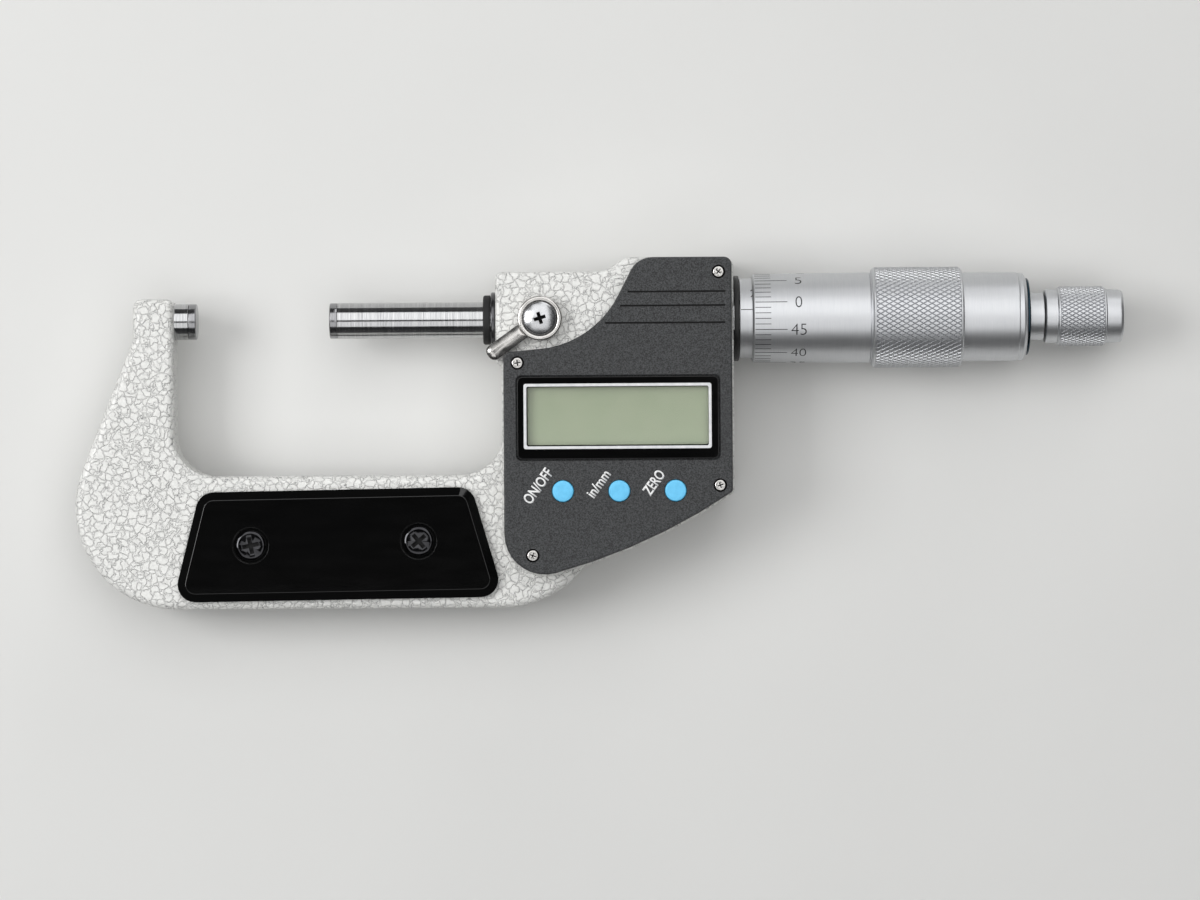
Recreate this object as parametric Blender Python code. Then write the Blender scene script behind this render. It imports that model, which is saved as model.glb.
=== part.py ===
"""Digital outside micrometer for 25 to 50 mm, lying on its back with its display up.

The origin is the centre of the anvil's measuring face. +X runs along the spindle to the ratchet, +Y
points away from the bow, and +Z comes out of the display. Sizes below are in millimetres, and MM
turns them into Blender's metres.
"""

import math

import bmesh
import bpy
from mathutils import Vector

MM = 0.001

# Clearances
SEAT = 0.1  # between pieces that are pressed, brazed or screwed together
RUN = 0.1  # radial, between pieces that turn or slide in each other
REST = 0.3  # between loose inner pieces and what they lie on
PAST = 1.0  # how far a cutter runs past the face that it opens

# Spindle and its measuring faces; the thread's bore is a plain one
GAP = 24.0
TRAVEL = 26.0
SPINDLE_R = 3.25
SPINDLE_BORE_R = SPINDLE_R + RUN
TIP_LENGTH = 1.35
TIP_CHAMFER = 0.15
THREAD_R = SPINDLE_R + 1.15
THREAD_RUN = 0.15

# Sleeve, nut and thimble: radii, from the thread outwards
BARREL_R = THREAD_R + THREAD_RUN + 1.05
SLEEVE_BORE_R = BARREL_R + SEAT
SLEEVE_R = SLEEVE_BORE_R + 1.5
COLLAR_R = SLEEVE_R + 0.5
NUT_R = SLEEVE_R - 0.3
THIMBLE_BORE_R = SLEEVE_R + 0.15
THIMBLE_EDGE_R = THIMBLE_BORE_R + 0.25
THIMBLE_FRONT_R = THIMBLE_BORE_R + 0.6
THIMBLE_SHOULDER_R = THIMBLE_BORE_R + 0.8
THIMBLE_REAR_R = THIMBLE_BORE_R + 0.65
KNURL_R = THIMBLE_BORE_R + 1.8
TAPER_LARGE_R = THREAD_R + 0.6
TAPER_SMALL_R = THREAD_R - 0.1

# Head, from its back to its front: it lies on its pad, which keeps the knurl off the table
PAD_BACK = -KNURL_R - 0.45
PAD_INSET = 0.6
PAD_ROUND = 0.8
HEAD_FLOOR = 1.7
POCKET_FLOOR = PAD_BACK + HEAD_FLOOR
HEAD_BACK = PAD_BACK + 2.1
HEAD_FRONT = 7.5
HEAD_ROUND = 0.8
HEAD_MARGIN = 0.4
HEAD_TOP_MARGIN = 0.15
HEAD_WALL = 2.2
POST_R = 2.0

# Encoder: a fixed plate and a disc on a hub that a key turns
STATOR_HALF = -POCKET_FLOOR - REST
STATOR_THICK = 1.0
STATOR_CORNER_R = 2.0
STATOR_BORE_R = SPINDLE_R + 1.15
STATOR_SPACE = 0.93
STATOR_INSET = 13.27
AIR_GAP = 0.4
ROTOR_R = STATOR_HALF - 0.6
ROTOR_THICK = 1.0
HUB_R = SPINDLE_BORE_R + 1.35
HUB_LENGTH = 5.0
KEY_R = 0.5
KEYWAY_DEPTH = 0.8
KEY_OVERRUN = 2.0

# Cover, from its left edge: its places on the face follow the spindle line, the window and the buttons
BOSS_LEFT = 54.0
COVER_INSET = 1.45
COVER_WIDTH = 40.82
COVER_LEFT = BOSS_LEFT + COVER_INSET
COVER_RIGHT = COVER_LEFT + COVER_WIDTH
COVER_TOP = STATOR_HALF + STATOR_SPACE + HEAD_WALL
HEAD_RIGHT = COVER_RIGHT + HEAD_MARGIN

# Window and the display in it
WINDOW_INSET = 2.15
WINDOW_BELOW = 2.6
WINDOW_HEIGHT = 15.3
WINDOW_LEFT = COVER_LEFT + WINDOW_INSET
WINDOW_RIGHT = COVER_RIGHT - WINDOW_INSET
WINDOW_TOP = -STATOR_HALF - WINDOW_BELOW
WINDOW_LOW = WINDOW_TOP - WINDOW_HEIGHT
WINDOW_CORNER_R = 1.0
WINDOW_THICK = 0.85
WINDOW_SINK = 0.3
WINDOW_GAP = 0.15
VIEW_INSET = 2.0
VIEW_LEFT = WINDOW_LEFT + VIEW_INSET
VIEW_RIGHT = WINDOW_RIGHT - VIEW_INSET
VIEW_LOW = WINDOW_LOW + VIEW_INSET + 0.7
VIEW_TOP = WINDOW_TOP - VIEW_INSET
LCD_MARGIN = 1.2
LCD_THICK = 1.5
CONNECTOR_WIDTH = 1.6

# Buttons
BUTTON_NAMES = ("button_on_off", "button_unit", "button_zero")
BUTTON_PITCH = 10.05
BUTTON_X = COVER_LEFT + 10.5
BUTTON_Y = WINDOW_LOW - 5.4
BUTTON_R = 1.9
BUTTON_GAP = 0.14
BUTTON_PROUD = 0.3
BUTTON_FLANGE = 0.65
BUTTON_FLANGE_THICK = 0.5
BUTTON_STEM_R = 1.0
BUTTON_TRAVEL = 0.5
BUTTON_PLACES = tuple((BUTTON_X + i * BUTTON_PITCH, BUTTON_Y) for i in range(len(BUTTON_NAMES)))
SWITCH_SIDE = 3.4
SWITCH_BODY = 1.2
SWITCH_PLUNGER = 0.4

# Lock: a lever on a screw, which presses a pad on the spindle
LOCK_X = BOSS_LEFT + 8.0
LOCK_ANGLE = 216.0
LOCK_CLEAR = 0.15
LOCK_HUB_R = 3.98
LOCK_HUB_HEIGHT = 2.4
LOCK_HUB_CHAMFER = 0.5
LOCK_FLOOR = 1.55
LOCK_ARM_REACH = 11.4
LOCK_ARM_WIDTH = 2.5
LOCK_ARM_HEIGHT = 2.0
LOCK_ARM_RIDGE = 0.95
LOCK_HEAD_R = LOCK_HUB_R - 0.98
LOCK_HEAD_HEIGHT = 1.75
LOCK_SHANK_R = 1.45
LOCK_PAD_HEIGHT = 1.2
LOCK_RECESS_ANGLE = 17.0

# Cover outline: low left corner, slanted edge, right side, bend and the scallop round the lock
COVER_LOW_R = 7.25
COVER_LOW_Y = BUTTON_Y - 7.6
SLANT_R = 106.5
SLANT_ANGLE = 285.0
COVER_CORNER_R = 1.4
COVER_LOW_CORNER_R = 0.8
COVER_LEFT_CORNER_R = 1.3
BEND_R = 4.3
BEND_X = COVER_RIGHT - 14.17
SCALLOP_X = LOCK_X - 1.6
SCALLOP_RISE = 11.9
SCALLOP_R = SCALLOP_RISE + LOCK_HUB_R + 1.62
SCALLOP_ANGLE = 275.0
LEAST_CORNER = 0.3
LEAST_STEP = 0.02

# Cover section and its grip grooves
COVER_HEIGHT = 3.3
COVER_SKIN = 1.6
COVER_RIM = 1.6
COVER_ROUND = 0.4
COVER_LOW = HEAD_FRONT + 2 * SEAT
COVER_FACE = COVER_LOW + COVER_HEIGHT
COVER_CEILING = COVER_FACE - COVER_SKIN
GROOVE_WIDTH = 0.32
GROOVE_DEPTH = 0.3
GROOVE_INSET = 1.45
GROOVE_END = COVER_RIGHT - 1.17
GROOVE_HEIGHTS = (COVER_TOP - 6.16, COVER_TOP - 8.65, COVER_TOP - 11.71)

# Spindle boss and the shoulder where it runs up to the head
SHOULDER_RISE = 2.53
SHOULDER_R = 4.85
SHOULDER_X = BEND_X - 3.3
BOSS_HALF = COVER_TOP + HEAD_TOP_MARGIN - SHOULDER_RISE
BOSS_CORNER_R = 1.2

# Cover screws: head, shank and seat
COVER_SCREWS = (
    (COVER_LEFT + 2.5, WINDOW_TOP + 2.2),
    (COVER_RIGHT - 2.37, COVER_TOP - 2.67),
    (COVER_RIGHT - 2.27, BUTTON_Y + 0.9),
    (COVER_LEFT + 5.05, COVER_LOW_Y - 3.85),
)
COVER_SCREW_ANGLES = (8.0, 52.0, 20.0, 70.0)
COVER_HEAD_R = 1.0
COVER_HEAD_HEIGHT = 0.7
COVER_HEAD_GAP = 0.22
COVER_HEAD_SINK = 0.05
COVER_SHANK_R = 0.65
COVER_SHANK = 7.5

# Circuit board, battery and its cap
BOARD_LOW = HEAD_FRONT - 3.0
BOARD_THICK = 1.0
BOARD_GAP = 0.4
BOARD_TOP_Y = -STATOR_HALF - 2.2
BATTERY_X = BUTTON_X + BUTTON_PITCH
BATTERY_Y = BUTTON_Y + 3.9
BATTERY_R = 5.8
BATTERY_THICK = 5.4
BATTERY_GAP = 0.2
WELL_WALL = 2.6
CAP_THREAD_R = BATTERY_R + 0.95
CAP_FLANGE_R = CAP_THREAD_R + 1.1
CAP_GAP = 0.15
CAP_FLANGE = 0.5
CAP_SPIGOT = 1.75
CAP_SINK = 0.15
CAP_SLOT_WIDTH = 1.7
CAP_SLOT_DEPTH = 0.95
CAP_SLOT_LENGTH = 12.0
CAP_SLOT_ANGLE = 30.0
SEAL_CORD_R = 0.2
CONTACT_WIDTH = 4.0
CONTACT_THICK = 0.3
CONTACT_FOOT = 3.0
CONTACT_RISE = 2.0

# Bow, which carries the anvil
BOW_THICK = 9.6
BOW_FRONT = BOW_THICK / 2
BOW_ROUND = 1.4
ANVIL_REACH = 3.9
ARM_WIDTH = 7.3
ARM_TOP = SPINDLE_R + 0.75
ARM_STRAIGHT = 7.2
ARM_CORNER_R = 1.5
ANVIL_SEAT = ARM_WIDTH - 0.9
BOW_R = 18.4
BOW_LEFT_X = -ANVIL_REACH + 0.5
BOW_RIGHT_X = COVER_LEFT - 0.35
THROAT_BOTTOM = -27.9
THROAT_R = 7.4
FOOT_WIDTH = 23.9
BOW_BOTTOM = THROAT_BOTTOM - FOOT_WIDTH

# Insulating plates, whose corners follow the foot of the bow
PLATE_CORNERS = (
    (BOW_LEFT_X - 0.8, BOW_BOTTOM + 1.3),
    (BOW_RIGHT_X + 0.2, BOW_BOTTOM + 2.0),
    (BOW_RIGHT_X - 5.6, THROAT_BOTTOM - 2.15),
    (BOW_LEFT_X + 4.15, THROAT_BOTTOM - 2.85),
)
PLATE_CORNER_R = 3.2
PLATE_BASE = 1.1
PLATE_BEVEL = 0.9
PLATE_INSET = 1.5
PLATE_SCREWS = (
    (BOW_LEFT_X + 13.3, THROAT_BOTTOM - FOOT_WIDTH / 2 - 0.45),
    (BOW_RIGHT_X - 15.1, THROAT_BOTTOM - FOOT_WIDTH / 2 + 0.15),
)
PLATE_SCREW_ANGLES = (12.0, 40.0)
PLATE_HEAD_R = 2.65
PLATE_HEAD_HEIGHT = 1.1
PLATE_HEAD_SINK = 0.15
PLATE_HEAD_GAP = 0.6
PLATE_SHANK_R = 1.35
PLATE_SHANK = 4.0

# Spindle guide and seal in the boss
BUSH_R = SPINDLE_BORE_R + 1.25
BUSH_LENGTH = 19.5
SEAL_RING_R = BUSH_R + 0.4
SEAL_RING = 0.8
SEAL_SPIGOT = 0.5
SEAL_R = SPINDLE_R + 1.2
SEAL_LENGTH = 1.3
SEAL_BORE_GAP = 0.2

# Along the line, from the head to the ratchet
BUSH_X = BOSS_LEFT + SEAL_SPIGOT + SEAT
STATOR_X = COVER_RIGHT - STATOR_INSET
KEY_X = STATOR_X + STATOR_THICK + AIR_GAP + ROTOR_THICK + HUB_LENGTH / 2
BARREL_SEAT = 3.77
BARREL_LENGTH = 43.1
BARREL_LEFT = HEAD_RIGHT - BARREL_SEAT
BARREL_RIGHT = BARREL_LEFT + BARREL_LENGTH
BARREL_SLOT = 0.8
BARREL_SLOT_LENGTH = 12.0
SHAFT_END = BARREL_LEFT + 6.6
THREAD_START = SHAFT_END + 0.5
NUT_LENGTH = 6.0
NUT_X = BARREL_RIGHT - NUT_LENGTH - 1.8
NUT_HOLE_R = 0.6
COLLAR_GAP = 0.2
COLLAR_LENGTH = 0.9
COLLAR_X = HEAD_RIGHT + COLLAR_GAP
SLEEVE_X = COLLAR_X + COLLAR_LENGTH + SEAT
SLEEVE_RIGHT = NUT_X - 0.7
SLEEVE_HOLE_R = 0.8
SLEEVE_SHOWN = 2.23
SLEEVE_HOLE_X = SLEEVE_X + 6.1
THIMBLE_X = SLEEVE_X + SLEEVE_SHOWN
EDGE_CHAMFER = 0.4
HUB_X = BARREL_RIGHT + 2.2
THIMBLE_END = HUB_X + 11.2
KNURL_LENGTH = 16.2
KNURL_CHAMFER = 0.5
KNURL_X = THIMBLE_END - KNURL_LENGTH - 11.5
REAR_BAND = 0.8
REAR_BAND_X = THIMBLE_END - REAR_BAND - 0.6
END_RING = 0.45
END_RING_R = THIMBLE_REAR_R - 1.05
END_RING_X = THIMBLE_END + SEAT

# Ratchet
NECK_R = 4.25
NECK_LENGTH = 2.6
NECK_X = END_RING_X + END_RING + SEAT
STEM_R = 1.5
STEM_THREAD = 9.0
KNOB_X = NECK_X + NECK_LENGTH + REST
KNOB_LENGTH = 14.0
KNOB_LAND = 2.2
KNOB_FLOOR = 3.1
KNOB_FACE = KNOB_X + KNOB_FLOOR
GRIP_LENGTH = 8.7
GRIP_R = 5.4
KNOB_R = GRIP_R - 0.55
KNOB_TAIL_R = GRIP_R - 0.65
KNOB_BORE_R = GRIP_R - 1.9
TEETH = 12
TOOTH_HEIGHT = 0.45
TOOTH_HALF = 0.45
PAWL_THICK = 1.6
SPRING_COIL_R = KNOB_BORE_R - 1.15
SPRING_WIRE_R = 0.25
SPRING_TURNS = 4.5
STEM_HEAD_R = KNOB_BORE_R - 0.6
STEM_HEAD = 0.7
CAP_THICK = 1.3


def arc(centre, radius, start, end, most_step=12.0):
    """Points along an arc, from one angle to the other, in degrees."""
    count = max(1, math.ceil(abs(end - start) / most_step))
    angles = [math.radians(start + (end - start) * i / count) for i in range(count + 1)]
    return [(centre[0] + radius * math.cos(a), centre[1] + radius * math.sin(a)) for a in angles]


def along(angle):
    """Unit vector at an angle, in degrees."""
    return Vector((math.cos(math.radians(angle)), math.sin(math.radians(angle))))


def rounded(corners, radius):
    """Polygon with each convex corner, taken counter-clockwise, replaced by an arc."""
    points = []
    for i, corner in enumerate(corners):
        here = Vector(corner)
        before = (Vector(corners[i - 1]) - here).normalized()
        after = (Vector(corners[(i + 1) % len(corners)]) - here).normalized()
        half = before.angle(after) / 2
        centre = here + (before + after).normalized() * (radius / math.sin(half))
        start = math.degrees(math.atan2(before.x, -before.y))
        points += arc(centre, radius, start, start + 180 - math.degrees(2 * half), 15.0)
    return points


def rectangle(left, right, low, top, radius):
    return rounded(((left, low), (right, low), (right, top), (left, top)), radius)


def cross(reach, width):
    """Outline of a cross recess."""
    half = width / 2
    arm = [(reach, -half), (reach, half), (half, half)]
    turns = [(1, 0), (0, 1), (-1, 0), (0, -1)]
    return [(x * c - y * s, x * s + y * c) for c, s in turns for x, y in arm]


def capsule(length, width):
    """Bar from the origin along +X, round at its far end."""
    half = width / 2
    return [(0.0, half), (0.0, -half)] + arc((length - half, 0.0), half, -90, 90, 18.0)


def head_right_side(grow, top, least=LEAST_CORNER):
    """Outline shared by head and cover: round the lower left, along the slanted edge and up the right side."""
    low = Vector((COVER_LEFT + COVER_LOW_R, COVER_LOW_Y))
    slant = low - (SLANT_R - COVER_LOW_R) * along(SLANT_ANGLE)
    low_corner = max(COVER_LOW_CORNER_R + grow, least)
    right = COVER_RIGHT + grow
    x = right - low_corner
    y = slant.y - math.sqrt((SLANT_R + grow - low_corner) ** 2 - (x - slant.x) ** 2)
    meets = math.degrees(math.atan2(y - slant.y, x - slant.x))
    corner = max(COVER_CORNER_R + grow, least)
    points = arc(low, COVER_LOW_R + grow, 180, SLANT_ANGLE)
    points += arc(slant, SLANT_R + grow, SLANT_ANGLE - 360, meets, 4.0)
    points += arc((x, y), low_corner, meets, 0, 20.0)
    points += arc((right - corner, top - corner), corner, 0, 90, 18.0)
    return points


def cover_outline(grow=0.0, least=LEAST_CORNER):
    """The cover's outline, moved outwards by grow, with its scallop round the spindle boss."""
    bend = Vector((BEND_X, COVER_TOP - BEND_R))
    scallop = Vector((SCALLOP_X, SCALLOP_RISE))
    between = scallop - bend
    lean = math.degrees(math.acos((BEND_R + SCALLOP_R) / between.length))
    turn = math.degrees(math.atan2(between.y, between.x)) - lean
    corner = max(COVER_LEFT_CORNER_R + grow, least)
    out = -along(SCALLOP_ANGLE)
    x = COVER_LEFT - grow + corner
    y = (out.dot(scallop) - SCALLOP_R + grow - corner - out.x * x) / out.y
    points = head_right_side(grow, COVER_TOP + grow, least)
    points += arc(bend, BEND_R + grow, 90, turn)
    points += arc(scallop, SCALLOP_R - grow, turn + 180, SCALLOP_ANGLE, 6.0)
    points += arc((x, y), corner, SCALLOP_ANGLE - 180, 180, 18.0)
    return points


def head_outline():
    """Head and spindle boss in one outline."""
    top = COVER_TOP + HEAD_TOP_MARGIN
    rise = top - BOSS_HALF
    lean = math.degrees(math.acos(1 - rise / (2 * SHOULDER_R)))
    run = 2 * SHOULDER_R * math.sin(math.radians(lean))
    left = COVER_LEFT - HEAD_MARGIN
    corner_x = BOSS_LEFT + BOSS_CORNER_R
    points = head_right_side(HEAD_MARGIN, top)
    points += arc((SHOULDER_X, top - SHOULDER_R), SHOULDER_R, 90, 90 + lean)
    points += arc((SHOULDER_X - run, BOSS_HALF + SHOULDER_R), SHOULDER_R, 270 + lean, 270)
    points += arc((corner_x, BOSS_HALF - BOSS_CORNER_R), BOSS_CORNER_R, 90, 180, 18.0)
    low_r = left - BOSS_LEFT
    points += arc((left, -BOSS_HALF + low_r), low_r, 180, 270, 18.0)
    return points


def bow_outline():
    """C-shaped bow: arm, round back, straight foot and the part that runs into the head."""
    inner = -ANVIL_REACH
    outer = inner - ARM_WIDTH
    bend = Vector((outer, ARM_TOP - ARM_STRAIGHT))
    back = Vector((BOW_LEFT_X, BOW_BOTTOM + BOW_R))
    reach = bend - back
    touch = math.degrees(math.atan2(reach.y, reach.x)) + math.degrees(math.acos(BOW_R / reach.length))
    throat = THROAT_BOTTOM + THROAT_R
    into_head = COVER_LEFT + COVER_LOW_R
    points = arc((inner - ARM_CORNER_R, ARM_TOP - ARM_CORNER_R), ARM_CORNER_R, 0, 90, 18.0)
    points += arc((outer + ARM_CORNER_R, ARM_TOP - ARM_CORNER_R), ARM_CORNER_R, 90, 180, 18.0)
    points += [tuple(bend)]
    points += arc(back, BOW_R, touch, 270, 7.0)
    points += arc((BOW_RIGHT_X, BOW_BOTTOM + BOW_R), BOW_R, 270, 325, 7.0)
    points += [(into_head, throat)]
    points += arc((BOW_RIGHT_X - THROAT_R, throat), THROAT_R, 0, -90)
    points += arc((inner + THROAT_R, throat), THROAT_R, 270, 180)
    return points


def place(obj, parent=None, at=(0.0, 0.0, 0.0), turn=(0.0, 0.0, 0.0)):
    obj.location = Vector(at) * MM
    obj.rotation_euler = [math.radians(a) for a in turn]
    obj.parent = parent
    return obj


def new_object(name, bm):
    bmesh.ops.recalc_face_normals(bm, faces=bm.faces[:])
    mesh = bpy.data.meshes.new(name)
    bm.to_mesh(mesh)
    bm.free()
    mesh.shade_smooth()
    mesh.set_sharp_from_angle(angle=math.radians(32))
    obj = bpy.data.objects.new(name, mesh)
    bpy.context.scene.collection.objects.link(obj)
    return obj


def flat_face(bm, outline, height):
    """Face on an outline, without the points that are on their neighbour, as where two arcs meet."""
    corners = [Vector(point) for point in outline]
    apart = [c for i, c in enumerate(corners) if (c - corners[i - 1]).length > LEAST_STEP]
    return bm.faces.new([bm.verts.new((c.x * MM, c.y * MM, height * MM)) for c in apart])


def prism(name, outline, low, high, top=0.0, bottom=0.0, steps=2):
    """Solid between two heights on an outline, with its top and bottom edges rounded or chamfered."""
    bm = bmesh.new()
    face = flat_face(bm, outline, low)
    lifted = bmesh.ops.extrude_face_region(bm, geom=[face])["geom"]
    verts = [v for v in lifted if isinstance(v, bmesh.types.BMVert)]
    bmesh.ops.translate(bm, verts=verts, vec=(0, 0, (high - low) * MM))
    for height, width in ((high, top), (low, bottom)):
        level = [e for e in bm.edges if all(abs(v.co.z - height * MM) < 1e-7 for v in e.verts)]
        if width:
            bmesh.ops.bevel(
                bm, geom=level, offset=width * MM, segments=steps, profile=0.5, affect="EDGES"
            )
    return new_object(name, bm)


def turned(name, profile, steps=32):
    """Turned solid about its local Z axis, from (radius, height) pairs.

    A profile that starts on the axis also ends there. Any other is the closed section of a tube.
    """
    bm = bmesh.new()
    verts = [bm.verts.new((r * MM, 0, z * MM)) for r, z in profile]
    edges = [bm.edges.new(pair) for pair in zip(verts, verts[1:])]
    if profile[0][0] > 0:
        edges.append(bm.edges.new((verts[-1], verts[0])))
    bmesh.ops.spin(
        bm, geom=verts + edges, cent=(0, 0, 0), axis=(0, 0, 1), angle=math.tau, steps=steps, use_merge=True
    )
    bmesh.ops.remove_doubles(bm, verts=bm.verts[:], dist=1e-7)
    return new_object(name, bm)


def helper(obj):
    """Marks a cutter or a lump that is only fused to another, so that it isn't a piece itself."""
    obj.hide_render = True
    obj.display_type = "WIRE"
    return obj


def boolean(obj, other, operation):
    modifier = obj.modifiers.new(operation.lower(), "BOOLEAN")
    modifier.operation = operation
    modifier.solver = "EXACT"
    modifier.object = helper(other)


def cut(obj, *cutters):
    for cutter in cutters:
        boolean(obj, cutter, "DIFFERENCE")


def fuse(obj, *lumps):
    for lump in lumps:
        boolean(obj, lump, "UNION")


def finish(obj, colour, roughness, metallic=0.0, alpha=1.0):
    """Gives the piece a material of its own."""
    material = bpy.data.materials.new(obj.name)
    material.use_nodes = True
    shader = material.node_tree.nodes["Principled BSDF"]
    shader.inputs["Base Color"].default_value = (*colour, 1.0)
    shader.inputs["Roughness"].default_value = roughness
    shader.inputs["Metallic"].default_value = metallic
    shader.inputs["Alpha"].default_value = alpha
    obj.data.materials.append(material)
    return obj


def enamel(obj):
    return finish(obj, (0.62, 0.62, 0.60), 0.42)


def charcoal(obj):
    return finish(obj, (0.045, 0.046, 0.05), 0.55)


def black_gloss(obj):
    return finish(obj, (0.008, 0.008, 0.009), 0.12)


def black_rubber(obj):
    return finish(obj, (0.012, 0.012, 0.013), 0.75)


def steel(obj):
    return finish(obj, (0.60, 0.60, 0.61), 0.22, 1.0)


def satin_chrome(obj):
    return finish(obj, (0.66, 0.67, 0.68), 0.36, 1.0)


def chrome(obj):
    return finish(obj, (0.72, 0.72, 0.73), 0.10, 1.0)


def carbide(obj):
    return finish(obj, (0.42, 0.42, 0.43), 0.25, 1.0)


def brass(obj):
    return finish(obj, (0.62, 0.44, 0.16), 0.35, 1.0)


def green_board(obj):
    return finish(obj, (0.02, 0.12, 0.05), 0.45)


def empty(name, parent=None, at=(0.0, 0.0, 0.0), turn=(0.0, 0.0, 0.0)):
    """Axis or centre that pieces hang on."""
    obj = bpy.data.objects.new(name, None)
    obj.empty_display_size = 5 * MM
    bpy.context.scene.collection.objects.link(obj)
    return place(obj, parent, at, turn)


def on_line(line, name, profile, steps=32):
    """Piece turned about the spindle line, with its heights along X."""
    return place(turned(name, profile, steps), line)


def column(name, at, radius, low, high, steps=24):
    """Upright round cutter or lump."""
    return place(turned(name, [(0, low), (radius, low), (radius, high), (0, high)], steps), None, (*at, 0))


def block(name, left, right, low, top, bottom, high):
    """Plain box, as a cutter."""
    corners = ((left, low), (right, low), (right, top), (left, top))
    return prism(name, corners, bottom, high)


def cross_screw(name, at, height, head, shank, turn, back=False, sides=20):
    """Screw with a cross recess. height is the underside of its head, which faces up, or down on the back."""
    radius, thick = head
    shank_r, length = shank
    profile = [(0, -length), (shank_r * 0.7, -length), (shank_r, -length * 0.9), (shank_r, 0)]
    profile += [(radius, 0), (radius, thick * 0.55), (radius * 0.8, thick * 0.9), (0, thick)]
    screw = place(turned(name, profile, sides), None, (*at, height), (180 * back, 0, turn))
    recess = prism(f"{name}_recess", cross(radius * 0.55, radius * 0.24), thick * 0.35, thick + PAST)
    cut(screw, place(recess, screw))
    return screw


def make_frame(line):
    """Bow, boss and hollow head in one casting, with the bores and threads that its pieces need."""
    frame = prism("frame", bow_outline(), -BOW_FRONT, BOW_FRONT, BOW_ROUND, BOW_ROUND, 3)
    head = prism("head_block", head_outline(), HEAD_BACK, HEAD_FRONT, HEAD_ROUND, HEAD_ROUND, 3)
    pad_outline = cover_outline(-PAD_INSET, 1.5 * PAD_ROUND)
    pad = prism("head_pad", pad_outline, PAD_BACK, HEAD_BACK + PAST, 0, PAD_ROUND)
    fuse(frame, head, pad)

    pocket = prism("head_pocket", cover_outline(-HEAD_WALL), POCKET_FLOOR, HEAD_FRONT + PAST)
    for i, at in enumerate(COVER_SCREWS, 1):
        cut(pocket, column(f"post_{i}", at, POST_R, PAD_BACK, COVER_FACE, 16))
    well_r = BATTERY_R + BATTERY_GAP + WELL_WALL
    well_top = PAD_BACK + CAP_SINK + CAP_FLANGE + CAP_SPIGOT + REST + BATTERY_THICK
    battery_at = (BATTERY_X, BATTERY_Y)
    cut(pocket, column("battery_well", battery_at, well_r, PAD_BACK - PAST, well_top, 32))
    cut(frame, pocket)

    sink = PAD_BACK + CAP_SINK + CAP_FLANGE + 2 * SEAL_CORD_R + SEAT
    thread_top = PAD_BACK + CAP_SINK + CAP_FLANGE + CAP_SPIGOT + SEAT
    well_bore = [(0, PAD_BACK - PAST), (CAP_FLANGE_R + CAP_GAP, PAD_BACK - PAST)]
    well_bore += [(CAP_FLANGE_R + CAP_GAP, sink), (CAP_THREAD_R + CAP_GAP, sink)]
    well_bore += [(CAP_THREAD_R + CAP_GAP, thread_top), (BATTERY_R + BATTERY_GAP, thread_top)]
    well_bore += [(BATTERY_R + BATTERY_GAP, well_top + PAST), (0, well_top + PAST)]
    cut(frame, place(turned("battery_bore", well_bore), None, (*battery_at, 0)))

    bores = (
        ("anvil_bore", SPINDLE_R, -ANVIL_REACH - ANVIL_SEAT - SEAT, -ANVIL_REACH + PAST),
        ("bush_bore", BUSH_R, BOSS_LEFT - PAST, STATOR_X - PAST),
        ("barrel_bore", BARREL_R, BARREL_LEFT - PAST, HEAD_RIGHT + PAST),
    )
    for name, radius, left, right in bores:
        r = radius + SEAT
        cut(frame, on_line(line, name, [(0, left), (r, left), (r, right), (0, right)]))

    cut(frame, column("lock_bore", (LOCK_X, 0), LOCK_SHANK_R + 0.2, BUSH_R - PAST, HEAD_FRONT + PAST, 24))
    for i, at in enumerate(COVER_SCREWS, 1):
        hole_floor = COVER_FACE - COVER_HEAD_HEIGHT - COVER_SHANK - REST
        cut(frame, column(f"post_hole_{i}", at, COVER_SHANK_R + SEAT, hole_floor, COVER_FACE, 12))
    for i, at in enumerate(PLATE_SCREWS, 1):
        reach = BOW_FRONT + PAST
        cut(frame, column(f"plate_hole_{i}", at, PLATE_SHANK_R + SEAT, -reach, reach, 16))
    return enamel(frame)


def make_anvil(line):
    start, end = -ANVIL_REACH - ANVIL_SEAT, -TIP_LENGTH - SEAT
    profile = [(0, start), (SPINDLE_R - 0.4, start), (SPINDLE_R, start + 0.4), (SPINDLE_R, end), (0, end)]
    steel(on_line(line, "anvil", profile))
    edge = SPINDLE_R - TIP_CHAMFER
    profile = [(0, -TIP_LENGTH), (SPINDLE_R, -TIP_LENGTH), (SPINDLE_R, -TIP_CHAMFER), (edge, 0), (0, 0)]
    carbide(on_line(line, "anvil_tip", profile))


def make_guide(line):
    """Bush in the boss, and the wiper and ring at its mouth."""
    left, right = BUSH_X, BUSH_X + BUSH_LENGTH
    tube = [(SPINDLE_BORE_R, left), (BUSH_R, left), (BUSH_R, right), (SPINDLE_BORE_R, right)]
    bush = on_line(line, "spindle_bush", tube)
    cut(bush, column("pad_hole", (LOCK_X, 0), LOCK_SHANK_R + 0.2, 0, BUSH_R + PAST, 24))
    steel(bush)

    bore = SPINDLE_R + SEAL_BORE_GAP
    face = BOSS_LEFT - SEAT
    left = face - SEAL_RING
    spigot = BUSH_R - SEAT
    ring = [(bore, left), (SEAL_RING_R - 0.15, left), (SEAL_RING_R, left + 0.15), (SEAL_RING_R, face)]
    ring += [(spigot, face), (spigot, BOSS_LEFT + SEAL_SPIGOT), (bore, BOSS_LEFT + SEAL_SPIGOT)]
    steel(on_line(line, "seal_ring", ring))

    right = left - SEAT
    left = right - SEAL_LENGTH
    seal = [(bore, left), (SEAL_R - 0.2, left), (SEAL_R, left + 0.3), (SEAL_R, right), (bore, right)]
    black_rubber(on_line(line, "spindle_seal", seal))


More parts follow.
